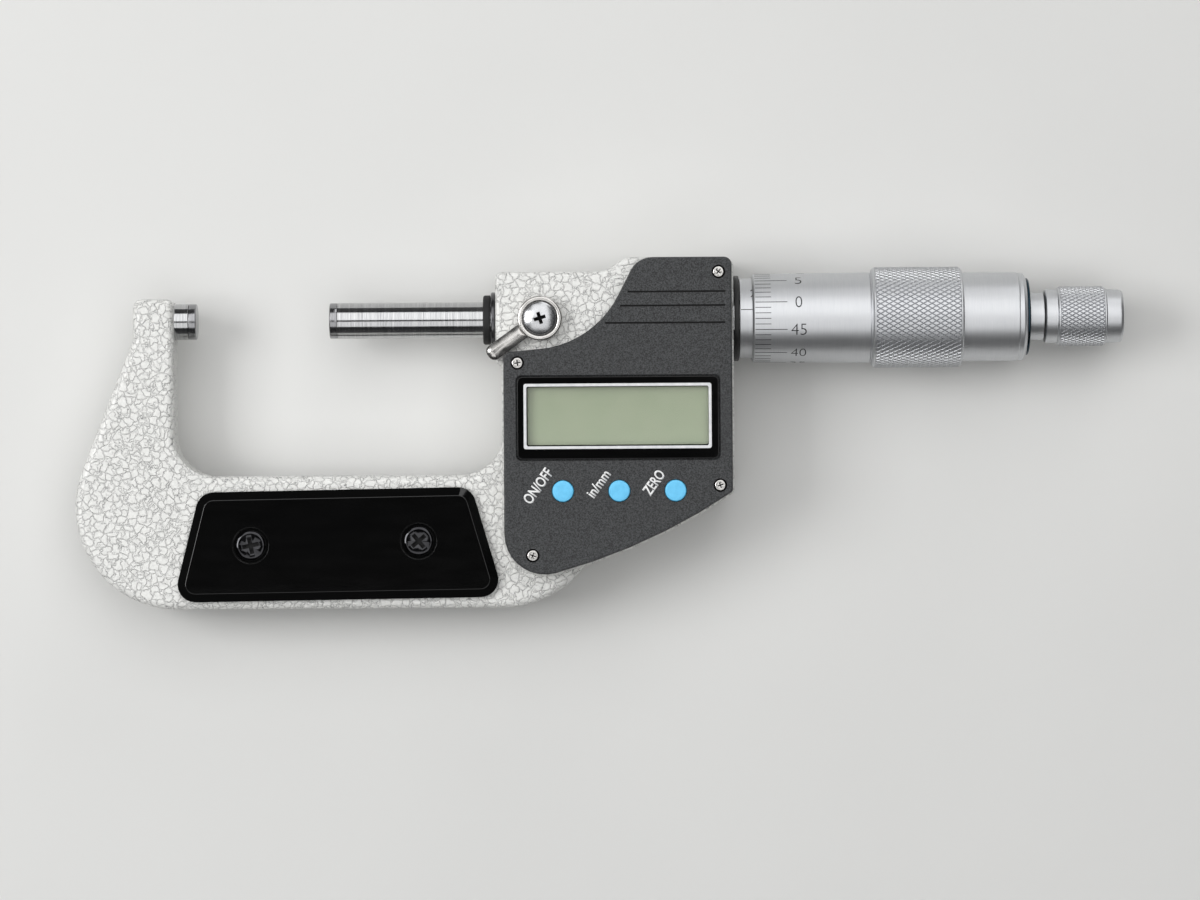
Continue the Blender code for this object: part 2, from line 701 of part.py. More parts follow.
def make_plates():
    """Insulating plates on both sides of the bow, each with a raised, bevelled panel and two screws."""
    face = BOW_FRONT + SEAT
    height = PLATE_BASE + PLATE_BEVEL
    seat = height - PLATE_HEAD_SINK - PLATE_HEAD_HEIGHT
    for side, back in (("front", False), ("back", True)):
        bm = bmesh.new()
        outline = rounded(PLATE_CORNERS, PLATE_CORNER_R)
        base = flat_face(bm, outline, face)
        lifted = bmesh.ops.extrude_face_region(bm, geom=[base])["geom"]
        verts = [v for v in lifted if isinstance(v, bmesh.types.BMVert)]
        bmesh.ops.translate(bm, verts=verts, vec=(0, 0, PLATE_BASE * MM))
        panel = [f for f in lifted if isinstance(f, bmesh.types.BMFace)]
        bmesh.ops.inset_region(bm, faces=panel, thickness=PLATE_INSET * MM, depth=0)
        for vert in panel[0].verts:
            vert.co.z += PLATE_BEVEL * MM
        if back:
            bmesh.ops.scale(bm, vec=(1, 1, -1), verts=bm.verts[:])
        plate = new_object(f"{side}_plate", bm)
        way = -1 if back else 1
        for i, (at, turn) in enumerate(zip(PLATE_SCREWS, PLATE_SCREW_ANGLES), 1):
            seat_z = face + seat - SEAT
            heights = sorted((way * seat_z, way * (face + height + PAST)))
            sink = column(f"{side}_plate_sink_{i}", at, PLATE_HEAD_R + PLATE_HEAD_GAP, *heights, 24)
            heights = sorted((way * (face - PAST), way * (face + height)))
            hole = column(f"{side}_plate_hole_{i}", at, PLATE_SHANK_R + SEAT, *heights, 16)
            cut(plate, sink, hole)
            name = f"{side}_plate_screw_{i}"
            head, shank = (PLATE_HEAD_R, PLATE_HEAD_HEIGHT), (PLATE_SHANK_R, PLATE_SHANK)
            black_gloss(cross_screw(name, at, way * (face + seat), head, shank, turn, back))
        black_gloss(plate)


def make_cover():
    """Front cover: a shell with the window's step, button holes, screw seats and grip grooves."""
    cover = prism("front_cover", cover_outline(), COVER_LOW, COVER_FACE, COVER_ROUND)
    hollow = prism("cover_hollow", cover_outline(-COVER_RIM), COVER_LOW - PAST, COVER_CEILING)
    for i, at in enumerate(COVER_SCREWS, 1):
        cut(hollow, column(f"cover_post_{i}", at, POST_R, HEAD_BACK, COVER_FACE, 16))
    cut(cover, hollow)

    window = rectangle(WINDOW_LEFT, WINDOW_RIGHT, WINDOW_LOW, WINDOW_TOP, WINDOW_CORNER_R)
    step = COVER_FACE - WINDOW_SINK - WINDOW_THICK - SEAT
    cut(cover, prism("window_step", window, step, COVER_FACE + PAST))
    view = rectangle(VIEW_LEFT, VIEW_RIGHT, VIEW_LOW, VIEW_TOP, WINDOW_CORNER_R / 2)
    cut(cover, prism("window_opening", view, COVER_CEILING - PAST, COVER_FACE))

    for name, at in zip(BUTTON_NAMES, BUTTON_PLACES):
        cut(cover, column(f"{name}_hole", at, BUTTON_R + BUTTON_GAP, COVER_LOW, COVER_FACE + PAST))
    for i, at in enumerate(COVER_SCREWS, 1):
        seat = COVER_FACE - COVER_HEAD_HEIGHT - COVER_HEAD_SINK - SEAT
        head_hole = column(f"head_hole_{i}", at, COVER_HEAD_R + COVER_HEAD_GAP, seat, COVER_FACE + PAST, 20)
        shank_hole = column(f"shank_hole_{i}", at, COVER_SHANK_R + SEAT, COVER_LOW - PAST, COVER_FACE, 12)
        cut(cover, head_hole, shank_hole)
    for i, y in enumerate(GROOVE_HEIGHTS, 1):
        start = SCALLOP_X + math.sqrt(SCALLOP_R**2 - (y - SCALLOP_RISE) ** 2) + GROOVE_INSET
        low, top = y - GROOVE_WIDTH / 2, y + GROOVE_WIDTH / 2
        floor = COVER_FACE - GROOVE_DEPTH
        cut(cover, block(f"groove_{i}", start, GROOVE_END, low, top, floor, COVER_FACE + PAST))
    charcoal(cover)

    for i, (at, turn) in enumerate(zip(COVER_SCREWS, COVER_SCREW_ANGLES), 1):
        under = COVER_FACE - COVER_HEAD_HEIGHT - COVER_HEAD_SINK
        head, shank = (COVER_HEAD_R, COVER_HEAD_HEIGHT), (COVER_SHANK_R, COVER_SHANK)
        chrome(cross_screw(f"cover_screw_{i}", at, under, head, shank, turn, sides=12))


def make_display():
    gap = WINDOW_GAP
    edges = (WINDOW_LEFT + gap, WINDOW_RIGHT - gap, WINDOW_LOW + gap, WINDOW_TOP - gap)
    top = COVER_FACE - WINDOW_SINK
    outline = rectangle(*edges, WINDOW_CORNER_R - gap)
    window = prism("display_window", outline, top - WINDOW_THICK, top, 0.12, 0, 1)
    finish(window, (0.01, 0.01, 0.01), 0.05, 0.0, 0.4)

    edges = (VIEW_LEFT - LCD_MARGIN, VIEW_RIGHT + LCD_MARGIN, VIEW_LOW - LCD_MARGIN, VIEW_TOP + LCD_MARGIN)
    top = COVER_CEILING - SEAT
    low = top - LCD_THICK
    finish(prism("lcd", rectangle(*edges, 0.3), low, top), (0.36, 0.40, 0.28), 0.3)

    y = VIEW_LOW - LCD_MARGIN
    ends = (VIEW_LEFT, VIEW_RIGHT, y, y + CONNECTOR_WIDTH)
    board_top = BOARD_LOW + BOARD_THICK
    black_rubber(block("lcd_connector", *ends, board_top + SEAT, low - SEAT))


def make_buttons():
    """Three buttons: a round head in its hole, a flange under the cover and a stem over its switch."""
    ceiling = COVER_CEILING - SEAT
    board_top = BOARD_LOW + BOARD_THICK
    switch_top = board_top + SEAT + SWITCH_BODY + SWITCH_PLUNGER
    stem_low = switch_top + BUTTON_TRAVEL + SEAT
    flange_low = ceiling - BUTTON_FLANGE_THICK
    flange_r = BUTTON_R + BUTTON_FLANGE
    top = COVER_FACE + BUTTON_PROUD
    for i, (name, at) in enumerate(zip(BUTTON_NAMES, BUTTON_PLACES), 1):
        axis = empty(f"{name}_axis", None, (*at, 0))
        profile = [(0, stem_low), (BUTTON_STEM_R, stem_low), (BUTTON_STEM_R, flange_low)]
        profile += [(flange_r, flange_low), (flange_r, ceiling), (BUTTON_R, ceiling)]
        profile += [(BUTTON_R, top - 0.15), (BUTTON_R - 0.15, top), (0, top)]
        finish(place(turned(name, profile, 24), axis), (0.12, 0.53, 0.88), 0.35)

        side = SWITCH_SIDE / 2
        square = rectangle(at[0] - side, at[0] + side, at[1] - side, at[1] + side, 0.4)
        low = board_top + SEAT
        switch = prism(f"button_switch_{i}", square, low, low + SWITCH_BODY)
        fuse(switch, column(f"switch_plunger_{i}", at, BUTTON_STEM_R, low + 0.3, switch_top, 12))
        finish(switch, (0.02, 0.02, 0.02), 0.5)


def make_electronics(line):
    """Circuit board, encoder plate, battery and its spring contact."""
    low, top = BOARD_LOW, BOARD_LOW + BOARD_THICK
    board = prism("circuit_board", cover_outline(-HEAD_WALL - BOARD_GAP), low, top)
    above = (COVER_LEFT, COVER_RIGHT, BOARD_TOP_Y, COVER_TOP, low - PAST, top + PAST)
    cut(board, block("board_top_cut", *above))
    for i, at in enumerate(COVER_SCREWS, 1):
        cut(board, column(f"board_notch_{i}", at, POST_R + BOARD_GAP, low - PAST, top + PAST, 16))
    green_board(board)

    half = STATOR_HALF
    stator = prism("encoder_stator", rectangle(-half, half, -half, half, STATOR_CORNER_R), STATOR_X, STATOR_X + STATOR_THICK)
    bore = [(0, STATOR_X - PAST), (STATOR_BORE_R, STATOR_X - PAST)]
    bore += [(STATOR_BORE_R, STATOR_X + STATOR_THICK + PAST), (0, STATOR_X + STATOR_THICK + PAST)]
    cut(place(stator, line), on_line(line, "stator_bore", bore))
    green_board(stator)

    cell_low = PAD_BACK + CAP_SINK + CAP_FLANGE + CAP_SPIGOT + REST
    cell_top = cell_low + BATTERY_THICK
    r = BATTERY_R
    cell = [(0, cell_low), (r - 1.2, cell_low), (r - 0.9, cell_low + 0.4), (r, cell_low + 0.7)]
    cell += [(r, cell_top - 0.2), (r - 0.2, cell_top), (0, cell_top)]
    chrome(place(turned("battery", cell), None, (BATTERY_X, BATTERY_Y, 0)))

    under_board = BOARD_LOW - SEAT
    t = CONTACT_THICK
    foot = cell_top + SEAT
    near, far = CONTACT_RISE, CONTACT_RISE + CONTACT_FOOT
    path = [(-far, under_board), (-near, under_board), (near, foot + t), (far, foot + t)]
    lower = [(x, z - t) for x, z in reversed(path)]
    leaf = prism("battery_contact", path + lower, -CONTACT_WIDTH / 2, CONTACT_WIDTH / 2)
    chrome(place(leaf, None, (BATTERY_X, BATTERY_Y, 0), (90, 0, 0)))


def make_battery_cap():
    """Cap with a coin slot, and the sealing ring under its flange."""
    axis = empty("battery_cap_axis", None, (BATTERY_X, BATTERY_Y, 0))
    low = PAD_BACK + CAP_SINK
    flange = low + CAP_FLANGE
    top = flange + CAP_SPIGOT
    profile = [(0, low), (CAP_FLANGE_R - 0.2, low), (CAP_FLANGE_R, low + 0.2), (CAP_FLANGE_R, flange)]
    profile += [(CAP_THREAD_R, flange), (CAP_THREAD_R, top), (0, top)]
    cap = place(turned("battery_cap", profile), axis)
    half, width = CAP_SLOT_LENGTH / 2, CAP_SLOT_WIDTH / 2
    slot = block("coin_slot", -half, half, -width, width, low - PAST, low + CAP_SLOT_DEPTH)
    cut(cap, place(slot, axis, (0, 0, 0), (0, 0, CAP_SLOT_ANGLE)))
    charcoal(cap)

    middle = flange + SEAT / 2 + SEAL_CORD_R
    ring_r = (CAP_THREAD_R + CAP_FLANGE_R) / 2
    cord = [(ring_r + x * SEAL_CORD_R, middle + y * SEAL_CORD_R) for x, y in arc((0, 0), 1, 0, 300, 60)]
    black_rubber(place(turned("cap_seal", cord), axis))


def make_lock(line):
    """Lock lever with its screw, whose end presses a brass pad on the spindle."""
    axis = empty("lock_axis", None, (LOCK_X, 0, 0))
    low = HEAD_FRONT + LOCK_CLEAR
    top = low + LOCK_HUB_HEIGHT
    bore, seat_r = LOCK_SHANK_R + SEAT, LOCK_HEAD_R + 0.15
    r, c = LOCK_HUB_R, LOCK_HUB_CHAMFER
    hub = [(bore, low), (r - 0.2, low), (r, low + 0.2), (r, top - c), (r - c * 0.8, top), (seat_r, top)]
    hub += [(seat_r, low + LOCK_FLOOR), (bore, low + LOCK_FLOOR)]
    lever = place(turned("lock_lever", hub), axis)
    inside = seat_r + 0.3
    bar = capsule(LOCK_ARM_REACH - inside, LOCK_ARM_WIDTH)
    bar = [(x + inside, y) for x, y in bar]
    arm = prism("lock_arm", bar, low + 0.1, low + 0.1 + LOCK_ARM_HEIGHT, LOCK_ARM_RIDGE, 0, 1)
    fuse(lever, place(arm, axis, (0, 0, 0), (0, 0, LOCK_ANGLE)))
    chrome(lever)

    under = low + LOCK_FLOOR + SEAT
    pad_low = SPINDLE_R + 0.15
    pad_top = pad_low + LOCK_PAD_HEIGHT
    r, h = LOCK_HEAD_R, LOCK_HEAD_HEIGHT
    profile = [(0, pad_top + SEAT), (LOCK_SHANK_R, pad_top + SEAT), (LOCK_SHANK_R, under), (r - 0.1, under)]
    profile += [(r, under + 0.1), (r, under + h * 0.3), (r * 0.87, under + h * 0.68)]
    profile += [(r * 0.55, under + h * 0.92), (0, under + h)]
    screw = place(turned("lock_screw", profile), axis)
    recess = prism("lock_recess", cross(r * 0.44, r * 0.21), under + h * 0.4, under + h + PAST)
    cut(screw, place(recess, axis, (0, 0, 0), (0, 0, LOCK_RECESS_ANGLE)))
    chrome(screw)

    pad = [(0, pad_low), (LOCK_SHANK_R, pad_low), (LOCK_SHANK_R, pad_top), (0, pad_top)]
    brass(place(turned("lock_pad", pad, 24), axis))


def make_rotor(line):
    """Encoder disc on a hub that the spindle turns by a key, and slides through."""
    turn_axis = empty("rotor_axis", line)
    disc_x = STATOR_X + STATOR_THICK + AIR_GAP
    hub_x = disc_x + ROTOR_THICK
    end = hub_x + HUB_LENGTH
    r = SPINDLE_BORE_R
    profile = [(r, disc_x), (ROTOR_R, disc_x), (ROTOR_R, hub_x), (HUB_R, hub_x), (HUB_R, end), (r, end)]
    rotor = on_line(turn_axis, "encoder_rotor", profile)
    hole = turned("key_hole", [(0, 0), (KEY_R + SEAT, 0), (KEY_R + SEAT, HUB_R + PAST), (0, HUB_R + PAST)], 16)
    # the line's local X points to the back of the frame, where the keyway is
    cut(rotor, place(hole, turn_axis, (0, 0, KEY_X), (0, 90, 0)))
    green_board(rotor)

    bottom = SPINDLE_R - KEYWAY_DEPTH + SEAT
    pin = [(0, bottom), (KEY_R, bottom), (KEY_R, HUB_R - SEAT), (0, HUB_R - SEAT)]
    steel(place(turned("rotor_key", pin, 16), turn_axis, (0, 0, KEY_X), (0, 90, 0)))


def make_spindle(line):
    """Spindle with its carbide face, keyway, thread and taper, in one piece but for the tip."""
    carriage = empty("spindle_carriage", line)
    face = GAP
    shaft = face + TIP_LENGTH + SEAT
    edge = SPINDLE_R - TIP_CHAMFER
    tip = [(0, face), (edge, face), (SPINDLE_R, face + TIP_CHAMFER), (SPINDLE_R, face + TIP_LENGTH)]
    tip += [(0, face + TIP_LENGTH)]
    carbide(on_line(carriage, "spindle_tip", tip))

    thread_end = HUB_X - 1.2
    tail = THIMBLE_END - 0.2
    socket = NECK_X - STEM_THREAD - REST
    hole_r = STEM_R + SEAT
    profile = [(0, shaft), (SPINDLE_R, shaft), (SPINDLE_R, SHAFT_END), (THREAD_R, THREAD_START)]
    profile += [(THREAD_R, thread_end), (THREAD_R - 0.5, thread_end + 0.4), (THREAD_R - 0.5, HUB_X)]
    profile += [(TAPER_LARGE_R, HUB_X), (TAPER_SMALL_R, tail), (hole_r, tail), (hole_r, socket), (0, socket)]
    spindle = on_line(carriage, "spindle", profile)
    # the key stays near one end of the keyway at rest, and near the other when the spindle is drawn back
    start, end = KEY_X - TRAVEL - KEY_OVERRUN, KEY_X + KEY_OVERRUN
    width = KEY_R + SEAT
    depth = SPINDLE_R - KEYWAY_DEPTH
    keyway = block("keyway", depth, SPINDLE_R + PAST, -width, width, start, end)
    cut(spindle, place(keyway, carriage))
    steel(spindle)
    return carriage


def make_sleeves(line):
    """Threaded barrel fixed in the head, its adjusting nut, the graduated sleeve over it and the collar."""
    bore = THREAD_R + THREAD_RUN
    left, right = BARREL_LEFT, BARREL_RIGHT
    tube = [(bore, left), (BARREL_R, left), (BARREL_R, right - 0.4), (BARREL_R - 0.4, right), (bore, right)]
    barrel = on_line(line, "inner_sleeve", tube)
    start = right - BARREL_SLOT_LENGTH
    reach, half = BARREL_R + PAST, BARREL_SLOT / 2
    for i in (1, 2):
        slot = block(f"barrel_slot_{i}", -reach, reach, -half, half, start, right + PAST)
        cut(barrel, place(slot, line, (0, 0, 0), (0, 0, 45 + 90 * i)))
    steel(barrel)

    left, right = NUT_X, NUT_X + NUT_LENGTH
    r = SLEEVE_BORE_R
    nut = [(r, left), (NUT_R - 0.3, left), (NUT_R, left + 0.3), (NUT_R, right - 0.3), (NUT_R - 0.3, right)]
    nut = on_line(line, "adjusting_nut", nut + [(r, right)])
    hole = [(0, 0), (NUT_HOLE_R, 0), (NUT_HOLE_R, NUT_R + PAST), (0, NUT_R + PAST)]
    cut(nut, place(turned("nut_hole", hole, 12), line, (0, 0, NUT_X + NUT_LENGTH / 2), (0, -90, 0)))
    steel(nut)

    left, right = SLEEVE_X, SLEEVE_RIGHT
    sleeve = on_line(line, "outer_sleeve", [(r, left), (SLEEVE_R, left), (SLEEVE_R, right), (r, right)], 48)
    hole = [(0, BARREL_R), (SLEEVE_HOLE_R, BARREL_R), (SLEEVE_HOLE_R, SLEEVE_R + PAST), (0, SLEEVE_R + PAST)]
    # the hole for the adjusting spanner is opposite the index line
    cut(sleeve, place(turned("spanner_hole", hole, 16), line, (0, 0, SLEEVE_HOLE_X), (0, 90, 0)))
    satin_chrome(sleeve)

    left, right = COLLAR_X, COLLAR_X + COLLAR_LENGTH
    collar = [(r, left), (COLLAR_R, left), (COLLAR_R, right - 0.15), (COLLAR_R - 0.15, right), (r, right)]
    black_rubber(on_line(line, "sleeve_collar", collar, 48))


def make_thimble(carriage):
    """Thimble with its bevelled edge, knurled band and taper seat, and the ring behind it."""
    left = THIMBLE_X
    knurl_end = KNURL_X + KNURL_LENGTH
    c = KNURL_CHAMFER
    profile = [(THIMBLE_BORE_R, left), (THIMBLE_EDGE_R, left), (THIMBLE_FRONT_R, left + EDGE_CHAMFER)]
    profile += [(THIMBLE_SHOULDER_R, KNURL_X), (KNURL_R - c, KNURL_X + 0.05), (KNURL_R, KNURL_X + c)]
    profile += [(KNURL_R, knurl_end - c), (KNURL_R - c, knurl_end), (THIMBLE_REAR_R, knurl_end + 0.05)]
    profile += [(THIMBLE_REAR_R, REAR_BAND_X), (THIMBLE_REAR_R - 0.12, REAR_BAND_X + 0.1)]
    profile += [(THIMBLE_REAR_R - 0.12, REAR_BAND_X + REAR_BAND), (THIMBLE_REAR_R - 0.8, THIMBLE_END)]
    profile += [(TAPER_SMALL_R + SEAT, THIMBLE_END), (TAPER_LARGE_R + SEAT, HUB_X + SEAT)]
    profile += [(THIMBLE_BORE_R, HUB_X + SEAT)]
    satin_chrome(on_line(carriage, "thimble", profile, 48))

    left, right = END_RING_X, END_RING_X + END_RING
    r = STEM_R + SEAT
    ring = [(r, left), (END_RING_R, left), (END_RING_R, right - 0.2), (END_RING_R - 0.25, right), (r, right)]
    finish(on_line(carriage, "thimble_end_ring", ring), (0.10, 0.13, 0.15), 0.3, 1.0)


def make_ratchet(carriage):
    """Ratchet stop: stem, knob with teeth in its floor, toothed pawl, spring and end cap."""
    start = NECK_X - STEM_THREAD
    neck_end = NECK_X + NECK_LENGTH
    stem_end = KNOB_X + KNOB_LENGTH - CAP_THICK - 2 * REST - 0.4
    head = stem_end - STEM_HEAD
    profile = [(0, start), (STEM_R, start), (STEM_R, NECK_X), (NECK_R - 0.15, NECK_X), (NECK_R, NECK_X + 0.15)]
    profile += [(NECK_R, neck_end), (STEM_R, neck_end), (STEM_R, head), (STEM_HEAD_R, head)]
    profile += [(STEM_HEAD_R, stem_end), (0, stem_end)]
    satin_chrome(on_line(carriage, "ratchet_stem", profile))

    knob_axis = empty("ratchet_axis", carriage)
    grip = KNOB_X + KNOB_LAND
    grip_end = grip + GRIP_LENGTH
    end = KNOB_X + KNOB_LENGTH
    bore = STEM_R + RUN * 2
    profile = [(bore, KNOB_X), (KNOB_R - 0.1, KNOB_X), (KNOB_R, KNOB_X + 0.1), (KNOB_R, grip)]
    profile += [(GRIP_R - 0.3, grip + 0.05), (GRIP_R, grip + 0.3), (GRIP_R, grip_end - 0.3)]
    profile += [(GRIP_R - 0.3, grip_end), (KNOB_R, grip_end + 0.05), (KNOB_TAIL_R, end - 0.5)]
    profile += [(KNOB_TAIL_R - 0.35, end), (KNOB_BORE_R, end), (KNOB_BORE_R, KNOB_FACE), (bore, KNOB_FACE)]
    knob = on_line(knob_axis, "ratchet_knob", profile)
    for i in range(TEETH):
        wedge = [(bore - RUN, 0.0), (KNOB_BORE_R, -TOOTH_HALF), (KNOB_BORE_R, TOOTH_HALF)]
        notch = prism(f"knob_notch_{i}", wedge, KNOB_FACE - TOOTH_HEIGHT, KNOB_FACE + PAST)
        cut(knob, place(notch, knob_axis, (0, 0, 0), (0, 0, 360 * i / TEETH)))
    satin_chrome(knob)

    left = KNOB_FACE + RUN
    back = left + TOOTH_HEIGHT
    right = back + PAWL_THICK
    outer = KNOB_BORE_R - RUN * 2
    ring = [(bore, left), (outer, left), (outer, right), (bore, right)]
    pawl = on_line(carriage, "ratchet_pawl", ring)
    for i in range(TEETH):
        wedge = [(bore - RUN * 2, 0.0), (outer + PAST, -TOOTH_HALF), (outer + PAST, TOOTH_HALF)]
        notch = prism(f"pawl_notch_{i}", wedge, left - PAST, back)
        cut(pawl, place(notch, carriage, (0, 0, 0), (0, 0, 360 * (i + 0.5) / TEETH)))
    steel(pawl)

    first = right + SEAT + SPRING_WIRE_R
    last = head - SEAT - SPRING_WIRE_R
    count = int(SPRING_TURNS * 12)
    curve = bpy.data.curves.new("ratchet_spring", "CURVE")
    curve.dimensions = "3D"
    curve.bevel_depth = SPRING_WIRE_R * MM
    curve.bevel_resolution = 0
    curve.use_fill_caps = True
    wire = curve.splines.new("POLY")
    wire.points.add(count)
    for i, point in enumerate(wire.points):
        angle = math.tau * SPRING_TURNS * i / count
        height = first + (last - first) * i / count
        x, y = SPRING_COIL_R * math.cos(angle), SPRING_COIL_R * math.sin(angle)
        point.co = (x * MM, y * MM, height * MM, 1)
    spring = bpy.data.objects.new("ratchet_spring", curve)
    bpy.context.scene.collection.objects.link(spring)
    steel(place(spring, carriage))

    r = KNOB_BORE_R - SEAT
    right = end - 0.15
    left = right - CAP_THICK
    cap = [(0, left), (r, left), (r, right - 0.4), (r * 0.8, right - 0.1), (0, right)]
    satin_chrome(on_line(knob_axis, "ratchet_cap", cap))


def main():
    for obj in list(bpy.data.objects):
        bpy.data.objects.remove(obj, do_unlink=True)
    # along this line, local Z is the model's X and local X is its -Z
    line = empty("spindle_line", None, (0, 0, 0), (0, 90, 0))
    make_frame(line)
    make_anvil(line)
    make_guide(line)
    make_plates()
    make_cover()
    make_display()
    make_buttons()
    make_electronics(line)
    make_battery_cap()
    make_lock(line)
    make_rotor(line)
    make_sleeves(line)
    carriage = make_spindle(line)
    make_thimble(carriage)
    make_ratchet(carriage)


main()
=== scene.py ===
"""Looks of a digital outside micrometer for 25 to 50 mm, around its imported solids.

The origin is the centre of the anvil's face. +X runs along the spindle to the ratchet, +Y points away
from the bow and +Z comes out of the display. Sizes are in millimetres, and MM turns them into metres.
"""

import math

import bmesh
import bpy
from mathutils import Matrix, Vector


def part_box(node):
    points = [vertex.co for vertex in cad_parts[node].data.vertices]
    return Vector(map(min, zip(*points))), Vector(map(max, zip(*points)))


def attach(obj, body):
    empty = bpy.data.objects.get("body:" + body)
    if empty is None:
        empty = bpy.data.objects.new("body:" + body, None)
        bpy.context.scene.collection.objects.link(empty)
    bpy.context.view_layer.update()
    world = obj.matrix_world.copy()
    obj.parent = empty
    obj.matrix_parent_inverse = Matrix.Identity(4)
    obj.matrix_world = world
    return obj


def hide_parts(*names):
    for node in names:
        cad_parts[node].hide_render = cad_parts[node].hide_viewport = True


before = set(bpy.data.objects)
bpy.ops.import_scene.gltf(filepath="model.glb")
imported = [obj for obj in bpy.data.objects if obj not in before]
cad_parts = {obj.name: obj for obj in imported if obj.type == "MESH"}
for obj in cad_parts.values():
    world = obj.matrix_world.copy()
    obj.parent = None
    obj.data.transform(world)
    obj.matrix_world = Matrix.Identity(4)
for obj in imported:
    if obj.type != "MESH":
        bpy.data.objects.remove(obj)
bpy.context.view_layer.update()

MM = 0.001
HAIR = 1e-6  # m: slack where two places are compared
ONE_LEVEL = 1e-5  # m: two heights closer than this are one level
ONE_POINT = 1e-7  # m: points of a new mesh closer than this are one
ONE_CAD_POINT = 2e-6  # m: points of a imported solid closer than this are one

# Places and sizes that several pieces share
LOCK_X = 62.0
LEVER_ANGLE = 216  # degrees from the ratchet's side, at rest
COVER_FACE = 11.0
WINDOW_FACE = 10.7
PLATE_SCREWS = ((9.9, -40.3, 12), (40.0, -39.7, 40))  # each with the turn of its recess
COVER_SCREWS = ((57.95, -8.0, 8), (93.9, 8.06, 52), (94.0, -30.0, 20), (60.5, -42.35, 70))
COVER_GROOVES = (6.16, 8.65, 11.71)  # below the top of the cover
BUTTONS = (("on_off", 65.95), ("unit", 76.0), ("zero", 86.05))
BUTTON_Y = -30.9
LABEL_ANGLE = 54
THIMBLE_CONE = ((100.5, 7.95), (121.7, 8.15))  # (x, radius) at both ends
THIMBLE_LINES = 50
THIMBLE_LINE_X = 100.55
THIMBLE_NUMBER_X = 108.35
SLEEVE_R = 7.2
FIRST_MM_X = 100.95  # line of 25 mm on the sleeve
MARK_WIDTH = 0.11
ZERO_ANGLE = 19.7  # the thimble's zero, up from the front
INDEX_ANGLE = 11.0  # the sleeve's long line, up from the front
NUMBER_ANGLE = 26  # the sleeve's numbers, up from that line


def deselect():
    """Leaves edit mode and deselects every object."""
    if bpy.context.mode != "OBJECT":
        bpy.ops.object.mode_set(mode="OBJECT")
    bpy.ops.object.select_all(action="DESELECT")


def only(obj):
    """Selects one object and makes it the active one."""
    deselect()
    obj.select_set(True)
    bpy.context.view_layer.objects.active = obj
    return obj


def edit(obj):
    """Opens a mesh for editing with all of its points selected."""
    only(obj)
    bpy.ops.object.mode_set(mode="EDIT")
    bpy.ops.mesh.select_mode(type="VERT")
    bpy.ops.mesh.select_all(action="SELECT")


def object_mode():
    """Leaves edit mode with the object still selected."""
    bpy.ops.object.mode_set(mode="OBJECT")


def pick(kind, wanted):
    """Selects only the faces or edges of the edited mesh that wanted() takes."""
    bpy.ops.mesh.select_mode(type=kind)
    bpy.ops.mesh.select_all(action="DESELECT")
    bm = bmesh.from_edit_mesh(bpy.context.object.data)
    for part in bm.faces if kind == "FACE" else bm.edges:
        if wanted(part):
            part.select_set(True)
    bmesh.update_edit_mesh(bpy.context.object.data)


def applied(obj, kind, **settings):
    """Adds a modifier with its settings and applies it."""
    only(obj)
    bpy.ops.object.modifier_add(type=kind)
    modifier = obj.modifiers[-1]
    for key, value in settings.items():
        setattr(modifier, key, value)
    bpy.ops.object.modifier_apply(modifier=modifier.name)
    return obj


def soften(obj, width=0.0, angle=30, segments=2):
    """Breaks the edges sharper than an angle and shades the rest smooth."""
    if width:
        applied(
            obj, "BEVEL", width=width * MM, segments=segments, limit_method="ANGLE",
            angle_limit=math.radians(angle), harden_normals=False,
        )
    only(obj)
    bpy.ops.object.shade_smooth_by_angle(angle=math.radians(angle))
    applied(obj, "WEIGHTED_NORMAL", keep_sharp=True)
    return obj


def close_up(obj):
    """Merges doubled points, fills open ends and turns all faces outwards."""
    edit(obj)
    bpy.ops.mesh.remove_doubles(threshold=ONE_POINT)
    bpy.ops.mesh.select_mode(type="EDGE")
    bpy.ops.mesh.select_all(action="SELECT")
    bpy.ops.mesh.fill_holes(sides=0)
    bpy.ops.mesh.select_all(action="SELECT")
    bpy.ops.mesh.normals_make_consistent(inside=False)
    object_mode()


def eased(profile, radius):
    """Profile whose inner corners are rounded with three points each."""
    points = [profile[0]]
    for before, here, after in zip(profile, profile[1:], profile[2:]):
        a, b, c = Vector(before), Vector(here), Vector(after)
        reach = min(radius, 0.45 * (a - b).length, 0.45 * (c - b).length)
        start, end = b + (a - b).normalized() * reach, b + (c - b).normalized() * reach
        points += [tuple(start), tuple((start + end + 2 * b) / 4), tuple(end)]
    return points + [profile[-1]]


def turned(name, profile, at=None, sides=96):
    """Piece turned about the spindle line from (x, radius) pairs or, at a place (x, y), about an
    upright axis from (z, radius) pairs. A profile that ends where it starts makes a tube."""
    deselect()
    upright = at is not None
    centre = Vector((at[0], at[1], 0)) if upright else Vector((0, 0, 0))
    way = Vector((0, 0, 1)) if upright else Vector((1, 0, 0))
    level, radius = profile[0]
    bpy.ops.mesh.primitive_circle_add(
        vertices=sides, radius=radius * MM, location=(centre + way * level) * MM,
        rotation=(0, 0 if upright else math.pi / 2, 0),
    )
    obj = bpy.context.object
    obj.name = name
    bpy.ops.object.transform_apply(location=True, rotation=True, scale=True)
    edit(obj)
    for (level, radius), (next_level, next_radius) in zip(profile, profile[1:]):
        bpy.ops.mesh.extrude_region_move(
            TRANSFORM_OT_translate={"value": way * (next_level - level) * MM}
        )
        if radius != next_radius:
            grow = next_radius / radius
            bpy.ops.transform.resize(
                value=(grow, grow, 1) if upright else (1, grow, grow),
                center_override=(centre + way * next_level) * MM,
            )
    object_mode()
    close_up(obj)
    return obj


